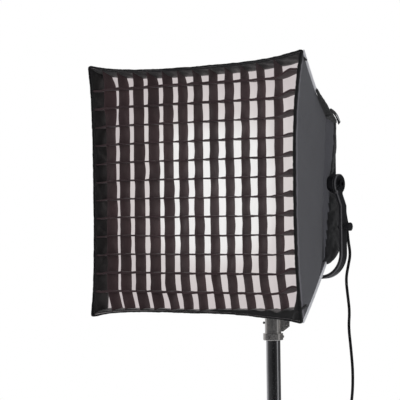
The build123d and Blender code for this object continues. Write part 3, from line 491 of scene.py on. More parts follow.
def make_panel(side, node, name):
    nu, ys = 150, []
    y = 0.0034
    while y < DEPTH:
        ys.append(y)
        y += 0.0022 if y < 0.040 else 0.0070
    rear = DEPTH
    ys.append(rear)
    nv = len(ys)
    verts, fm = [], []
    for i in range(nu + 1):
        t = i / nu
        for y in ys:
            f = y / DEPTH
            h = shell_half(y) - 0.0006
            # the rear edge runs further back at the top than at the bottom
            yy = y
            if side in (1, 3):
                zt = (1 - 2 * t) * (1 if side == 1 else -1)
                yy = y + 0.016 * zt * smooth01((f - 0.55) / 0.45)
            x, z = side_point(side, t, h, bow_share(side, y))
            edge = math.sin(math.pi * t) ** 0.5 if 0 < t < 1 else 0.0
            s = t * 2 * h
            w = 0.0
            # gathers that run back from the front seam, long pulls from the corners, and slack cloth
            w += 0.00085 * math.exp(-(y - 0.03) / 0.05) * nz(s * 95, y * 4, side * 3.7) if y > 0.03 else 0.0005 * nz(s * 120, y * 30, side)
            w += 0.0016 * nz(s * 16, y * 3.0, 11 + side) + 0.0009 * nz(s * 38 + y * 6, y * 5, 21 + side)
            d = min(t, 1 - t)
            w += 0.0012 * math.exp(-d * 12) * nz((s + y * 0.8) * 60, (s - y) * 6, 31 + side)
            if 0.0260 < y < 0.0285:
                w -= 0.0009
            if y <= 0.0262:
                w += 0.0007
            if f > 0.9:
                w += 0.0010 * nz(s * 110, 3, side) * (f - 0.9) * 10
            nx, nn = ((0, 1), (1, 0), (0, -1), (-1, 0))[side]
            verts.append(S(x + nx * w * edge, yy, z + nn * w * edge))
    faces = grid_faces(nu + 1, nv)
    for f in faces:
        yv = ys[f[0] % nv]
        fm.append(1 if yv < 0.0255 else 0)
    o = mesh_object(name, verts, faces, [M["flank"], M["band"]], face_mats=fm)
    # normals outwards before thickening
    c = S(0, 0.15, 0)
    p = o.data.polygons[len(o.data.polygons) // 2]
    if (p.center - c).dot(p.normal) < 0:
        o.data.flip_normals()
    thicken(o, 0.0014, -1.0)
    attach(o, "head"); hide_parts(node)
    return o


panels = [make_panel(0, "shell_top", "panel_top"), make_panel(1, "shell_right", "panel_right"),
          make_panel(2, "shell_bottom", "panel_bottom"), make_panel(3, "shell_left", "panel_left")]


# ------------------------------------------------------------------ piping on the ridges
def make_piping():
    verts, faces = [], []
    prof = [(-0.0075, -0.0005), (-0.0062, 0.0012), (-0.0022, 0.0020), (0.0020, 0.0042), (0.0052, 0.0050), (0.0066, 0.0026)]
    for sx, sz in ((1, 1), (1, -1), (-1, -1), (-1, 1)):
        base = len(verts)
        n = 90
        d = Vector((sx, 0, sz)).normalized()
        e = Vector((sx, 0, -sz)).normalized()
        ring = 14
        for i in range(n + 1):
            f = i / n
            y = 0.0040 + (DEPTH - 0.0100) * f
            if sx > 0 and sz < 0:
                y = 0.0040 + 0.2960 * f
            if sz > 0:
                y = 0.0040 + 0.1890 * f
            h = shell_half(y)
            c = Vector((sx * h, 0, sz * h))
            end = smooth01((1 - f) / 0.04) * smooth01(0.2 + f / 0.035)
            h -= 0.0016 * (1 - smooth01(f / 0.03))
            k = 0.20 + 0.80 * end
            if sz < 0:
                k *= 0.92
            for j in range(ring):
                a = 2 * math.pi * j / ring
                # flat lobe that stands out from the ridge, rounded at its edge
                out = 0.0010 + 0.0042 * math.cos(a) * k
                wid = 0.0024 * math.sin(a) * k * (0.65 + 0.35 * math.cos(a))
                out += 0.0005 * nz(f * 60, a, sx + 2 * sz)
                wid += 0.0005 * nz(f * 40, 7 + a, sx + 2 * sz)
                p = c + d * out + e * wid
                verts.append(S(p.x, y, p.z))
        faces += grid_faces(n + 1, ring, False, True, base)
        faces.append(tuple(base + j for j in range(ring)))
        faces.append(tuple(base + n * ring + j for j in reversed(range(ring))))
    o = mesh_object("ridge_piping", verts, faces, M["piping"])
    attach(o, "head"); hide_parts("ridge_tapes")
    return o


piping = make_piping()


# ------------------------------------------------------------------ diffusion cloth
def shell_in(side, t, y):
    """Inner face of the shell on one side, as a distance from the axis."""
    return shell_half(y) - 0.0030 - pull(side, t, bow_share(side, y))


def make_diffuser():
    n, rim_n = 90, 6
    verts = []
    m = n + 2 * rim_n
    for i in range(m + 1):
        for j in range(m + 1):
            a_, b_ = (i - rim_n) / n * 2 - 1, (j - rim_n) / n * 2 - 1
            g = max(0.0, abs(a_) - 1, abs(b_) - 1) / (2 * rim_n / n)
            u, v = max(-1.0, min(1.0, a_)), max(-1.0, min(1.0, b_))
            y = 0.0420 - 0.0350 * g
            hx = shell_in(1 if u > 0 else 3, (1 - v) / 2 if u > 0 else (1 + v) / 2, y)
            hz = shell_in(0 if v > 0 else 2, (1 + u) / 2 if v > 0 else (1 - u) / 2, y)
            if g == 0:
                y += (0.0026 * (1 - u * u) * (1 - v * v) * 0.5 + 0.0006 * nz(u * 6, v * 6, 2) + 0.0003 * nz(u * 40, v * 12, 5)) * (1 - max(abs(u), abs(v)) ** 8)
            verts.append(S(u * hx, y, v * hz))
    o = mesh_object("diffusion_cloth", verts, grid_faces(m + 1, m + 1), M["diffuser"])
    if o.data.polygons[len(o.data.polygons) // 2].normal.y > 0:
        o.data.flip_normals()
    thicken(o, 0.0008, -1.0)
    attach(o, "head"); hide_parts("front_diffuser")
    return o


diffuser = make_diffuser()

# ------------------------------------------------------------------ egg crate grid
CELLS = 13
PX_, X_0 = 0.04363, -0.2977          # pitch and start of the upright strips, which hang a little to the left
PZ_, Z_0 = 0.04350, 0.00285 - 6.5 * 0.04350
GD = 0.0355
WID = (0.0052, 0.0058, 0.0052, 0.0066)       # how far in the border stands on each side: top, right, bottom, left
SLOPE = 0.38
DEEP = (1.0, 1.0, 0.90, 1.0)            # share of the depth that the border reaches on each side


def slope(side, t):
    """How fast the border runs in towards the axis with depth."""
    if side == 2:
        return 0.05 + 0.33 * abs(2 * t - 1) ** 5
    return SLOPE


def border_in(side, t):
    w = WID[side]
    c = min(t, 1 - t)
    if side == 0:
        w = 0.0050 + 0.0010 * smooth01(c / 0.10)
        w += 0.0009 * nz(t * 26, 1.1) + 0.0007 * nz(t * 61, 2.1)
    elif side == 2:
        w = 0.0060 + 0.0095 * smooth01((0.55 - t) / 0.50) + 0.0110 * smooth01((0.12 - t) / 0.10) + 0.0016 * smooth01((0.30 - t) / 0.10) * (1 + math.sin(t * 90))
        w += 0.0012 * nz(t * 24, 3.1) + 0.0009 * nz(t * 57, 4.1)
    else:
        w += 0.0008 * nz(t * 30, 5.1 + side)
        if side == 1:
            w += 0.0170 * smooth01((t - 0.875) / 0.115)
    return w


def edge_at(side, u, y):
    """Distance from the axis to the border's inner face on one side, at u along it and y behind the rim."""
    t = max(0.0, min(1.0, (u + HF) / (2 * HF)))
    if side in (1, 2):
        t = 1 - t
    return HF - pull(side, t) - border_in(side, t) - slope(side, t) * y


def side_of(i, n):
    """Side and place along it of point i of outline(h, r, n)."""
    m = n + 8
    k, j = divmod(i, m)
    k %= 4
    if j <= n:
        tc = 0.012 / (2 * HF)
        return k, tc + (1 - 2 * tc) * j / n
    return k, 1.0


def make_border():
    n = 190
    pts, nor, run = outline(HF - 0.0004, 0.012, n)
    yy = [0.0, 0.003, 0.008, 0.014, 0.020, 0.026, 0.031, GD]
    verts, nv = [], 0
    for i, ((x, z), (nx, nzz), s) in enumerate(zip(pts, nor, run)):
        side, t = side_of(i, n)
        w = border_in(side, t)
        if t >= 1.0:
            w2 = border_in((side + 1) % 4, 0.0)
            f = ((i % (n + 8)) - n) / 8
            w = w * (1 - f) + w2 * f
        near = min(t, 1 - t) * 2 * HF
        if near < 0.02 and t < 1.0:
            o_ = WID[(side + 1) % 4] if t > 0.5 else WID[(side - 1) % 4]
            w = w + (0.5 * (w + o_) - w) * (1 - near / 0.02)
        dk = DEEP[side]
        if t >= 1.0:
            dk = dk * (1 - f) + DEEP[(side + 1) % 4] * f
        elif near < 0.03:
            o_ = DEEP[(side + 1) % 4] if t > 0.5 else DEEP[(side - 1) % 4]
            if o_ > dk:
                dk = dk + (o_ - dk) * (1 - near / 0.03) ** 1.5 * 0.9
        prof = [(-0.0036, 0.0012), (-0.5 * (0.0036 + w), 0.0004)]
        prof += [(-w, y * dk) for y in yy]
        prof += [(-w + 0.0018, y * dk) for y in (GD, 0.024, 0.012)] + [(-0.0042, 0.0060)]
        nv = len(prof)
        for k, (nn, y) in enumerate(prof):
            fold = dy = 0.0
            if 2 <= k < 2 + len(yy):
                # diagonal folds, where the cloth is gathered on the tape behind it
                e = math.sin(math.pi * min(1, max(0, y / GD / dk))) * 0.7 + 0.30
                fold = (0.0030 * nz((s - y * 1.3) * 40, y * 9, 3.3) + 0.0016 * nz((s + y * 0.7) * 100, y * 20, 7.7)) * e
                if side == 3:
                    q = (s * 1.0 + y * 1.35) * 13.5 + 0.9 * nz(s * 7, 2.4)
                    cr = abs((q - math.floor(q)) * 2 - 1)
                    fold = fold * 0.9 + (0.0036 * cr ** 5 - 0.0008) * e * (0.4 + 0.9 * smooth01(0.5 + nz(math.floor(q) * 1.7, 6.6)))
                if side == 1:
                    fold *= 0.35
                if side == 2:
                    fold *= 0.8
            if k in (1, 2):
                dy = 0.0012 * nz(s * 70, k * 2.0) + 0.0009 * nz(s * 160, 4 + k)
            sl = slope(side, t if t < 1.0 else 0.0)
            d = nn + fold - sl * y
            if d > -0.0034:
                d = -0.0034
            if k >= 2 + len(yy):
                d = nn - sl * y
            verts.append(S(x + nx * d, y + max(-0.0004, dy), z + nzz * d))
    o = mesh_object("grid_border_cloth", verts, grid_faces(len(pts), nv, True, True), M["border"])
    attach(o, "grid"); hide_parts("grid_border")
    return o


border = make_border()


LEAN = [0, 0.0085, 0.0042, 0.0048, 0.0055, 0.0030, 0.0012, 0.0006, 0.0004, 0, 0, 0, 0, 0]


def strip_x(k, z, f):
    """Sideways place of upright strip k at height z and depth share f (0 front, 1 back)."""
    x = X_0 + PX_ * k
    if k == CELLS - 1:
        x += 0.0025
    cell = (z - Z_0) / PZ_
    ph = cell - math.floor(cell)
    belly = math.sin(math.pi * ph)
    w = 0.0026 * belly * nz(k * 3.1, math.floor(cell) * 1.7, f * 1.3 + 2) + 0.0012 * nz(k * 2.3, z * 34, f * 2)
    w += (f - 0.5) * 0.0026 * nz(k * 5.3, math.floor(cell) * 2.9, 9)
    w += 0.0009 * belly + f * LEAN[k]
    if k == 1:
        # the first strip stands clear of the border, so that a thin slit shows beside it
        show = smooth01((0.20 - z) / 0.06) * (1 - 0.55 * smooth01((0.05 - z) / 0.20))
        w += show * (0.0052 * (1 - f) - 0.0030 * f * smooth01((z + 0.06) / 0.12))
    # the bottom rows are dragged to the right, and the top row leans unevenly
    l0 = 0.190 + 0.042 * smooth01((8.0 - k) / 5.0)
    low = max(0.0, min(1.0, (-l0 - z) / (0.283 - l0)))
    w += 0.0170 * low ** 1.15 * (0.85 + 0.40 * nz(k * 1.7, 4.4))
    high = smooth01((z - 0.238) / 0.040)
    w -= 0.0075 * high ** 1.3 * (0.5 + 0.9 * f) * (0.45 + 1.5 * nz(k * 2.7, 8.8))
    return x + w


def strip_z(k, x, f):
    z = Z_0 + PZ_ * k
    cell = (x - X_0) / PX_
    ph = cell - math.floor(cell)
    belly = math.sin(math.pi * ph)
    w = -0.0012 * belly * (1 + nz(k * 2.1, math.floor(cell) * 1.3, 5)) + 0.0012 * nz(k * 3.7, x * 26, f * 2 + 6)
    w += (f - 0.5) * 0.0024 * nz(k * 4.9, math.floor(cell) * 2.3, 3)
    w += 0.0006 * nz(k * 2.2, x * 140, 1)
    # the last cell on the right: the strips climb to where they are sewn, more so near the top
    e = smooth01((x - 0.222) / 0.052)
    up = 0.0130 * smooth01((z + 0.02) / 0.25) + 0.0010
    w += e * up * (0.75 + 0.5 * nz(k * 1.9, 2.2))
    if z < 0.10:
        w += e * 0.0125 * (1 - f) * (0.9 + 0.6 * nz(k * 3.3, 6.1)) * smooth01((0.10 - z) / 0.05)
        w += e * 0.0060 * smooth01((-0.20 - z) / 0.02)
    else:
        w += e * 0.0080 * (1 - f) * (0.9 + 0.6 * nz(k * 3.3, 6.1)) * smooth01((z - 0.10) / 0.05)
    # and on the left they drop slightly
    e = smooth01((-0.235 - x) / 0.035)
    w -= e * 0.0024 * (1 + nz(k * 2.9, 1.1))
    return z + w


def make_strips(vertical):
    verts, faces = [], []
    nd = 7
    T = 0.0012 if vertical else 0.0027
    for k in range(1, CELLS):
        n = 200
        base = len(verts)
        for side in (1, -1):
            for i in range(n + 1):
                q = i / n
                for j in range(nd):
                    f = j / (nd - 1)
                    y = 0.0012 + (GD - 0.0016) * f
                    u = (X_0 + PX_ * k) if vertical else (Z_0 + PZ_ * k)
                    lo = -edge_at(2 if vertical else 3, u, y) - 0.0006
                    hi = edge_at(0 if vertical else 1, u, y) + 0.0006
                    a = lo + (hi - lo) * q
                    if j == 0:
                        y += 0.0010 * nz(a * 55, k * 3.3 + (0 if vertical else 50))
                    if vertical:
                        verts.append(S(strip_x(k, a, f) + side * T / 2, y, a))
                    else:
                        th = T * (1.0 + 0.7 * abs(nz(k * 1.3, a * 18))) * (1.5 if abs(Z_0 + PZ_ * k) > 0.19 and j < 2 else 1.0)
                        verts.append(S(a, y, strip_z(k, a, f) + side * th / 2))
        m = (n + 1) * nd
        faces += grid_faces(n + 1, nd, base=base)
        faces += [tuple(reversed(q)) for q in grid_faces(n + 1, nd, base=base + m)]
        for i in range(n):
            for j in (0, nd - 1):
                a, b = base + i * nd + j, base + (i + 1) * nd + j
                q = (a, b, b + m, a + m)
                faces.append(q if j == 0 else tuple(reversed(q)))
        for j in range(nd - 1):
            for i in (0, n):
                a, b = base + i * nd + j, base + i * nd + j + 1
                q = (a, b, b + m, a + m)
                faces.append(tuple(reversed(q)) if i == 0 else q)
    name = "grid_cloth_vertical" if vertical else "grid_cloth_horizontal"
    o = mesh_object(name, verts, faces, M["grid"])
    sharpen(o, 50)
    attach(o, "grid"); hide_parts("grid_strips_vertical" if vertical else "grid_strips_horizontal")
    return o


strips = [make_strips(True), make_strips(False)]


# ------------------------------------------------------------------ elastic skirt at the rear
LINE = [(-0.180, 0.288), (-0.148, 0.292), (-0.020, 0.311), (0.015, 0.315), (0.045, 0.322), (0.095, 0.334), (0.165, 0.340)]


def make_skirt():
    W, H, R = 0.1752, 0.1742, 0.014
    pts = []
    def seg(a, b, n):
        for i in range(n):
            t = i / n
            pts.append((a[0] + (b[0] - a[0]) * t, a[1] + (b[1] - a[1]) * t))
    def arc(cx, cz, a0, n=10):
        for i in range(n):
            a = math.radians(a0 - 90 * i / n)
            pts.append((cx + R * math.cos(a), cz + R * math.sin(a)))
    seg((-W + R, H), (W - R, H), 90); arc(W - R, H - R, 90)
    seg((W, H - R), (W, -H + R), 90); arc(W - R, -H + R, 0)
    seg((W - R, -H), (-W + R, -H), 90); arc(-W + R, -H + R, -90)
    seg((-W, -H + R), (-W, H - R), 90); arc(-W + R, H - R, 180)
    N, nv = len(pts), 24
    verts, edge_y, yvs = [], [], []
    s = 0.0
    for i, (x, z) in enumerate(pts):
        q = pts[(i + 1) % N]
        p = pts[i - 1]
        tx, tz = q[0] - p[0], q[1] - p[1]
        l = math.hypot(tx, tz)
        nx, nn = -tz / l, tx / l
        hub = math.exp(-((z - 0.010) / 0.023) ** 4) if abs(x) > 0.17 else 0.0
        corner = smooth01((min(abs(x), abs(z)) - 0.12) / 0.05)
        low = corner * (1 if z < 0 else 0)
        top = smooth01((z + 0.166) / 0.332)
        sag = smooth01((0.002 - z) / 0.030) * (1.0 if abs(x) > 0.17 else 0.6) * smooth01((z + 0.172) / 0.030)
        y1 = 0.3345 + 0.016 * smooth01((z - 0.02) / 0.08) - 0.030 * hub + 0.003 * nz(s * 22, 1.0) + 0.004 * low + 0.024 * sag
        y0 = 0.286
        line = LINE[0][1]
        for (za, ya), (zb, yb) in zip(LINE, LINE[1:]):
            if za <= z <= zb:
                line = ya + (yb - ya) * (z - za) / (zb - za)
        if z > LINE[-1][0]:
            line = LINE[-1][1]
        edge_y.append(line)
        for v in range(nv):
            f = v / (nv - 1)
            y = y0 + (y1 - y0) * f
            puff = 0.0026 * math.sin(math.pi * f) + 0.0060 * low * math.sin(math.pi * f)
            k_ = smooth01((y - line + 0.004) / 0.008)
            w = (0.0010 + 0.0020 * k_ + 0.0016 * corner * k_) * nz(s * 70 + f * 1.5, f * 2.5, 1.5) * math.sin(math.pi * min(1, f * 1.1))
            w += 0.0012 * nz(s * 160, f * 5, 4.5) * (0.2 + 0.8 * k_)
            # an elastic draws it in along the line
            w -= 0.0014 * math.exp(-((y - line) / 0.0022) ** 2)
            d = -0.0010 + puff * 0.8 + w + 0.0042 * sag * k_ * (0.7 + 0.6 * nz(s * 30, 7.7)) * math.sin(math.pi * min(1.0, 0.15 + 0.8 * f))
            d += 0.0022 * k_ * smooth01((z - 0.03) / 0.04) * math.sin(math.pi * min(1.0, f))
            if f == 0:
                d = 0.0006 - 0.0012
            if f == 1:
                d = -0.0002
            d = max(d, -0.0008)
            yv = y + 0.0012 * nz(s * 90, 5) * f
            verts.append(S(x + nx * d, yv, z + nn * d))
            yvs.append(yv)
        s += math.hypot(q[0] - x, q[1] - z)
    faces = grid_faces(N, nv, True, False)
    fm = [0 if yvs[f_[0]] < edge_y[f_[0] // nv] - 0.001 else 1 for f_ in faces]
    o = mesh_object("skirt_cloth", verts, faces, [M["flank"], M["skirt"]], face_mats=fm)
    c = S(0, 0.31, 0)
    p = o.data.polygons[5]
    if (p.center - c).dot(p.normal) < 0:
        o.data.flip_normals()
    thicken(o, 0.0012, 1.0)
    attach(o, "head"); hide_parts("rear_skirt")
    return o


skirt = make_skirt()


# ------------------------------------------------------------------ black strap over the rear of each upper ridge, with a pull tab
def ribbon(name, path, side_dir, width, thick, mat, waves=0.0):
    """A flat strap along a path, its width along side_dir."""
    n = len(path)
    verts = []
    ring = [(-1, -1), (-0.92, 0.6), (-0.5, 1), (0.5, 1), (0.92, 0.6), (1, -1)]
    for i, p in enumerate(path):
        a, b = path[max(0, i - 1)], path[min(n - 1, i + 1)]
        t = (b - a).normalized()
        sd = (side_dir[i] if isinstance(side_dir, list) else side_dir)
        sd = (sd - sd.dot(t) * t).normalized()
        nn = sd.cross(t).normalized()
        for u, v in ring:
            q = p + sd * (u * (width[i] if isinstance(width, list) else width) / 2) + nn * (v * thick / 2)
            q = q + nn * waves * nz(i * 0.35, u * 0.8, 3)
            verts.append(q)
    m = len(ring)
    faces = grid_faces(n, m, False, True)
    faces.append(tuple(range(m)))
    faces.append(tuple((n - 1) * m + j for j in reversed(range(m))))
    return mesh_object(name, verts, faces, mat)


def make_strap(sx):
    """The strap runs straight from the ridge to the rear corner; a gusset of the same cloth closes the gap under it."""
    first, last = S(sx * (shell_half(0.178) + 0.0034), 0.178, shell_half(0.178) + 0.0034), S(sx * 0.1790, 0.3470, 0.1610)
    pts, dirs, wid = [], [], []
    for i in range(47):
        f = i / 46
        line = first.lerp(last, f)
        y = 0.178 + 0.167 * f
        h = (shell_half(y) - 0.0004) if y < 0.300 else 0.1700
        low = S(sx * h, y, h if y < 0.300 else h - 0.010 * smooth01((y - 0.300) / 0.045))
        line = line + Vector((sx, 0, 1)).normalized() * (0.0016 * nz(f * 9, 2.2 + sx))
        side_v = line - low
        w_ = max(0.0050, side_v.length)
        if side_v.length < 1e-4:
            side_v = Vector((sx, 0, 1))
        pts.append(line - side_v.normalized() * (w_ / 2 - 0.0012))
        dirs.append(side_v.normalized())
        wid.append(w_)
    o = ribbon("corner_strap_right" if sx > 0 else "corner_strap_left", pts, dirs, wid, 0.0100, M["strap"], 0.0005)
    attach(o, "head")
    tab = []
    out_ = Vector((sx, 0.35, 1)).normalized()
    for i in range(7):
        f = 0.66 + 0.44 * i / 6
        tab.append(first.lerp(last, f) + out_ * (0.0016 + 0.0046 * math.sin(math.pi * i / 6) ** 0.8 + 0.0010 * i / 6))
    fine = []
    for i in range(len(tab) - 1):
        for j in range(5):
            fine.append(tab[i].lerp(tab[i + 1], j / 5))
    fine.append(tab[-1])
    t = ribbon("pull_tab_right" if sx > 0 else "pull_tab_left", fine, Vector((sx * 0.35, 0.55, 0.75)), 0.0075, 0.0022, M["strap"], 0.0005)
    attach(t, "head")
    bar = [first.lerp(last, 0.86 + 0.22 * i / 8) + out_ * 0.0062 + Vector((sx * 0.0012, 0, 0)) for i in range(9)]
    bz = ribbon("tab_wire_right" if sx > 0 else "tab_wire_left", bar, Vector((sx * 0.35, 0.55, 0.75)), 0.0019, 0.0018, M["wire"])
    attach(bz, "head")
    return o


straps = [make_strap(1), make_strap(-1)]


# ------------------------------------------------------------------ yoke: the same bar with its long edges eased, the bevel faces painted lighter as a highlight
def eased(node, width, body, name, mat, segs=2, ang=30, edge=None):
    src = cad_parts[node]
    me = src.data.copy()
    me.name = name
    me.materials.clear()
    me.materials.append(mat)
    if edge is not None:
        me.materials.append(edge)
    bm = bmesh.new()
    bm.from_mesh(me)
    bmesh.ops.remove_doubles(bm, verts=bm.verts, dist=2e-6)
    bmesh.ops.dissolve_limit(bm, angle_limit=math.radians(1.0), verts=bm.verts, edges=bm.edges)
    bm.to_mesh(me)
    bm.free()
    o = bpy.data.objects.new(name, me)
    bpy.context.scene.collection.objects.link(o)
    b = o.modifiers.new("ease", "BEVEL")
    b.width, b.segments, b.limit_method, b.angle_limit = width, segs, "ANGLE", math.radians(ang)
    b.use_clamp_overlap = True
    # the bevel faces take the second slot, the lighter grey that paints the edge highlight
    if edge is not None:
        b.material = 1
        b.use_clamp_overlap = False
    apply_mods(o)
    sharpen(o, 40)
    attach(o, body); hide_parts(node)
    return o


yoke = eased("yoke_frame", 0.0024, "yoke", "yoke_bar", M["paint"], 3, edge=M["edge"])


# ------------------------------------------------------------------ cords
def cord_curve(name, pts, d, mat):
    cu = bpy.data.curves.new(name, "CURVE")
    cu.dimensions = "3D"
    cu.bevel_depth = d / 2
    cu.bevel_resolution = 4
    cu.resolution_u = 8
    sp = cu.splines.new("NURBS")
    sp.points.add(len(pts) - 1)
    for p, q in zip(sp.points, pts):
        p.co = (*q, 1.0)
    sp.order_u = 3
    sp.use_endpoint_u = True
    sp.use_smooth = True
    cu.use_fill_caps = True
    cu.materials.append(mat)
    o = bpy.data.objects.new(name, cu)
    bpy.context.scene.collection.objects.link(o)
    return o


LA = math.radians(68)
LX, LY = math.cos(LA) * 0.037, COL + math.sin(LA) * 0.037
CX, CY, CZ = 0.1995, COL + 0.025, AX - 0.092
SZ = 0.870
D = 0.007
p1 = [(0.1474, COL + 0.063, AX - 0.036), (0.160, COL + 0.0625, AX - 0.0365), (0.172, COL + 0.056, AX - 0.042),
      (0.182, COL + 0.045, AX - 0.052), (0.190, COL + 0.034, AX - 0.066), (CX, CY, CZ + 0.007)]
p2 = [(CX, CY, CZ - 0.007)] + [(x / 1000, COL + y / 1000, AX + z / 1000) for x, y, z in (
    (198.5, 30, -124), (203.5, 32, -158), (197, 31, -187), (191.5, 29, -218), (195, 31, -258), (199, 32, -296), (196, 31, -332),
    (201, 32, -382), (206, 32, -440), (204, 31, -500), (190, 33, -560), (154, 37, -606), (106, 39, -639), (64, 38, -667), (34, 36, -694), (18, 34.8, -718))]
p2 += [(LX, LY, SZ + 0.011)]
p3 = [(LX + a / 1000, LY + b / 1000, c / 1000) for a, b, c in (
    (0, 0, 859), (1, 3, 830), (3, 11, 780), (1, 14, 710), (5, 17, 625), (2, 15, 535), (6, 18, 445), (3, 15, 355), (5, 16, 270),
    (3, 14, 190), (6, 16, 120), (8, 24, 68), (9, 48, 22), (14, 88, 3.5), (26, 122, 3.5))]
CLX, CLY = 0.00386, 0.31039


def coil_points():
    """Six flat turns lying on the floor, two wide and three high, wound as one lead."""
    pts, per = [], 16
    a0 = math.atan2(LY + 0.150 - CLY, LX + 0.033 - CLX)
    lay = [(0.0415, 0.0037), (0.0350, 0.0037), (0.0352, 0.0108), (0.0420, 0.0108), (0.0415, 0.0178), (0.0350, 0.0178)]
    total = len(lay) * per
    for i in range(total):
        k, ph = divmod(i, per)
        r, z = lay[k]
        r2, z2 = lay[min(k + 1, len(lay) - 1)]
        g = smooth01((ph - per * 0.72) / (per * 0.28))
        rr, zz = r + (r2 - r) * g, z + (z2 - z) * g
        a = a0 + 2 * math.pi * (i / per)
        rr += 0.0007 * nz(i * 0.37, 2.2)
        pts.append((CLX + rr * math.cos(a), CLY + rr * math.sin(a), max(0.0036, zz)))
    return pts, a0 + 2 * math.pi * (total / per)


coil, a_end = coil_points()
plug_lo, plug_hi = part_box("cord_plug")
PX = (plug_lo[0] + plug_hi[0]) / 2
PY1 = plug_hi[1]
da = math.atan2(0.0, -1.0)
while a_end < da - 0.9:
    da -= 2 * math.pi
tail = []
a_ = a_end + math.pi / 8
stop = math.ceil((a_end - math.pi * 0.75) / (2 * math.pi)) * 2 * math.pi + math.pi * 0.75
while a_ < stop:
    tail.append((CLX + 0.0352 * math.cos(a_), CLY + 0.0352 * math.sin(a_), 0.0178))
    a_ += math.pi / 8
tail += [(CLX - 0.044, CLY + 0.028, 0.0170), (PX - 0.002, CLY + 0.008, 0.0140), (PX, PY1 + 0.012, 0.0110), (PX, PY1 - 0.010, 0.0110)]
p3 = p3 + coil + tail


def to_tube(o, name):
    """The curve's centreline and length, and the same cord as a mesh tube."""
    dg = bpy.context.evaluated_depsgraph_get()
    tube = bpy.data.meshes.new_from_object(o.evaluated_get(dg))
    mat = o.data.materials[0]
    o.data.bevel_depth = 0.0
    dg = bpy.context.evaluated_depsgraph_get()
    line = bpy.data.meshes.new_from_object(o.evaluated_get(dg))
    pts = [tuple(v.co) for v in line.vertices]
    L = sum(math.dist(pts[i], pts[i + 1]) for i in range(len(pts) - 1))
    bpy.data.meshes.remove(line)
    bpy.data.objects.remove(o)
    tube.name = name
    tube.materials.clear()
    tube.materials.append(mat)
    for q in tube.polygons:
        q.use_smooth = True
    t = bpy.data.objects.new(name, tube)
    bpy.context.scene.collection.objects.link(t)
    sharpen(t, 60)
    return t, pts, L


c1, l1, L1 = to_tube(cord_curve("lead_at_head_line", p1, D, M["cord"]), "lead_at_head")
c2, l2, L2 = to_tube(cord_curve("lead_hanging_line", p2, D, M["cord"]), "lead_hanging")
c3, l3, L3 = to_tube(cord_curve("lead_to_plug_line", p3, D, M["cord"]), "lead_to_plug")
print("CORD_LENGTHS", round(L1, 4), round(L2, 4), round(L3, 4))
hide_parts("cord_to_clip")
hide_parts("cord_hanging")
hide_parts("cord_lower", "cord_coil")
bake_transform(c1)
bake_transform(c2)
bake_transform(c3)

# ------------------------------------------------------------------ view, light and backdrop
sc = bpy.context.scene
az, DIST, zc, foc = 36.077, 3.94798, -0.0538, 1723.0
yaw, pitch, roll = -0.2767, 0.41494, -0.75
r_ = math.radians
C = Vector((DIST * math.sin(r_(az)), -DIST * math.cos(r_(az)) + Y0, AX + zc))
th, p_, ro = r_(az + yaw), r_(pitch), r_(roll)
fwd = Vector((-math.sin(th) * math.cos(p_), math.cos(th) * math.cos(p_), math.sin(p_)))
right = fwd.cross(Vector((0, 0, 1))).normalized()
up = right.cross(fwd)
R = math.cos(ro) * right + math.sin(ro) * up
U = -math.sin(ro) * right + math.cos(ro) * up
cam = bpy.data.cameras.new("camera")
cam.lens, cam.sensor_width, cam.sensor_fit = foc * 36 / 400, 36.0, "AUTO"
cam.clip_start, cam.clip_end = 0.1, 60
co = bpy.data.objects.new("camera", cam)
sc.collection.objects.link(co)
co.matrix_world = Matrix(((R.x, U.x, -fwd.x, C.x), (R.y, U.y, -fwd.y, C.y), (R.z, U.z, -fwd.z, C.z), (0, 0, 0, 1)))
sc.camera = co

# azimuth bands as shares of a turn; 0.5 is towards the camera, above it turns to the object's right
ROOM = [(0.0, 0.60), (0.13, 0.42), (0.205, 0.26), (0.235, 0.07), (0.36, 0.035), (0.50, 0.012), (0.650, 0.03), (0.678, 0.34), (0.702, 0.40), (0.728, 0.05), (0.90, 0.07), (1.0, 0.60)]
w = bpy.data.worlds.new("studio")
sc.world = w
w.use_nodes = True
nt = w.node_tree
nt.nodes.clear()
out = nt.nodes.new("ShaderNodeOutputWorld")
lp = nt.nodes.new("ShaderNodeLightPath")
tc = nt.nodes.new("ShaderNodeTexCoord")
bg1 = nt.nodes.new("ShaderNodeBackground")
bg2 = nt.nodes.new("ShaderNodeBackground")
bg3 = nt.nodes.new("ShaderNodeBackground")
bg1.inputs["Color"].default_value = (1, 1, 1, 1)
bg1.inputs["Strength"].default_value = 1.0
bg3.inputs["Color"].default_value = (0.92, 0.94, 1.0, 1)
bg3.inputs["Strength"].default_value = 0.34
# what polished metal sees: a dark room behind the camera, one bright panel to the right, white behind the object
sep = nt.nodes.new("ShaderNodeSeparateXYZ")
rot = nt.nodes.new("ShaderNodeVectorRotate")
rot.rotation_type = "Z_AXIS"
rot.inputs["Angle"].default_value = -(math.radians(az) - math.pi / 2)
nt.links.new(tc.outputs["Generated"], rot.inputs["Vector"])
nt.links.new(rot.outputs["Vector"], sep.inputs[0])
ang = math_node(nt, "ARCTAN2", sep.outputs["Y"], sep.outputs["X"])
t01 = map_range(nt, ang, -math.pi, math.pi, 0.0, 1.0)
rampn = nt.nodes.new("ShaderNodeValToRGB")
rampn.color_ramp.interpolation = "EASE"
BANDS = ROOM
while len(rampn.color_ramp.elements) < len(BANDS):
    rampn.color_ramp.elements.new(0.5)
for e_, (pos, v_) in zip(rampn.color_ramp.elements, BANDS):
    e_.position, e_.color = pos, (v_, v_, v_ * 1.02, 1)
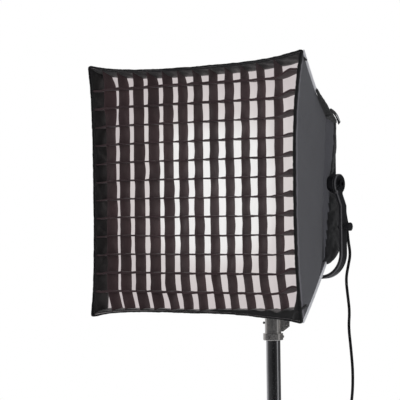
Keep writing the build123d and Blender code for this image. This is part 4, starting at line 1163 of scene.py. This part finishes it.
nt.links.new(t01, rampn.inputs["Fac"])
nt.links.new(rampn.outputs["Color"], bg2.inputs["Color"])
bg2.inputs["Strength"].default_value = 1.0
mixg = nt.nodes.new("ShaderNodeMixShader")
mix = nt.nodes.new("ShaderNodeMixShader")
nt.links.new(lp.outputs["Is Glossy Ray"], mixg.inputs["Fac"])
nt.links.new(bg3.outputs["Background"], mixg.inputs[1])
nt.links.new(bg2.outputs["Background"], mixg.inputs[2])
nt.links.new(lp.outputs["Is Camera Ray"], mix.inputs["Fac"])
nt.links.new(mixg.outputs["Shader"], mix.inputs[1])
nt.links.new(bg1.outputs["Background"], mix.inputs[2])
nt.links.new(mix.outputs["Shader"], out.inputs["Surface"])
sc.view_settings.view_transform = "Standard"
sc.view_settings.look = "None"


def area(name, loc, target, size, power, shape=None):
    l = bpy.data.lights.new(name, "AREA")
    l.shape = "RECTANGLE" if shape else "SQUARE"
    l.size = size
    if shape:
        l.size_y = shape
    l.energy = power
    o = bpy.data.objects.new(name, l)
    sc.collection.objects.link(o)
    o.location = loc
    o.rotation_euler = (Vector(target) - Vector(loc)).to_track_quat("-Z", "Y").to_euler()
    o.visible_glossy = False
    return o


area("key", (2.6, -0.2, 3.2), (0, 0.1, 1.5), 1.6, 12)
area("side", (3.2, 1.2, 1.5), (0.1, 0.1, 1.4), 0.9, 4, 1.8)
area("front", (2.1, -2.9, 1.9), (0, 0, 1.55), 1.0, 41)
area("fill", (-1.8, -2.6, 2.6), (0, 0, 1.4), 2.0, 10)

m_floor, ntf, bf = new_mat("floor_paint", (0.86, 0.86, 0.86, 1), 0.75)
ntf.links.new(ramp(ntf, tex_noise(ntf, coords(ntf), 3.0, 4.0), [(0.3, (0.84, 0.84, 0.84, 1)), (0.7, (0.88, 0.88, 0.88, 1))]), bf.inputs["Base Color"])
fl = mesh_object("floor", [(-3, -3, -0.0005), (3, -3, -0.0005), (3, 3.2, -0.0005), (-3, 3.2, -0.0005)], [(0, 1, 2, 3)], m_floor, smooth=False)
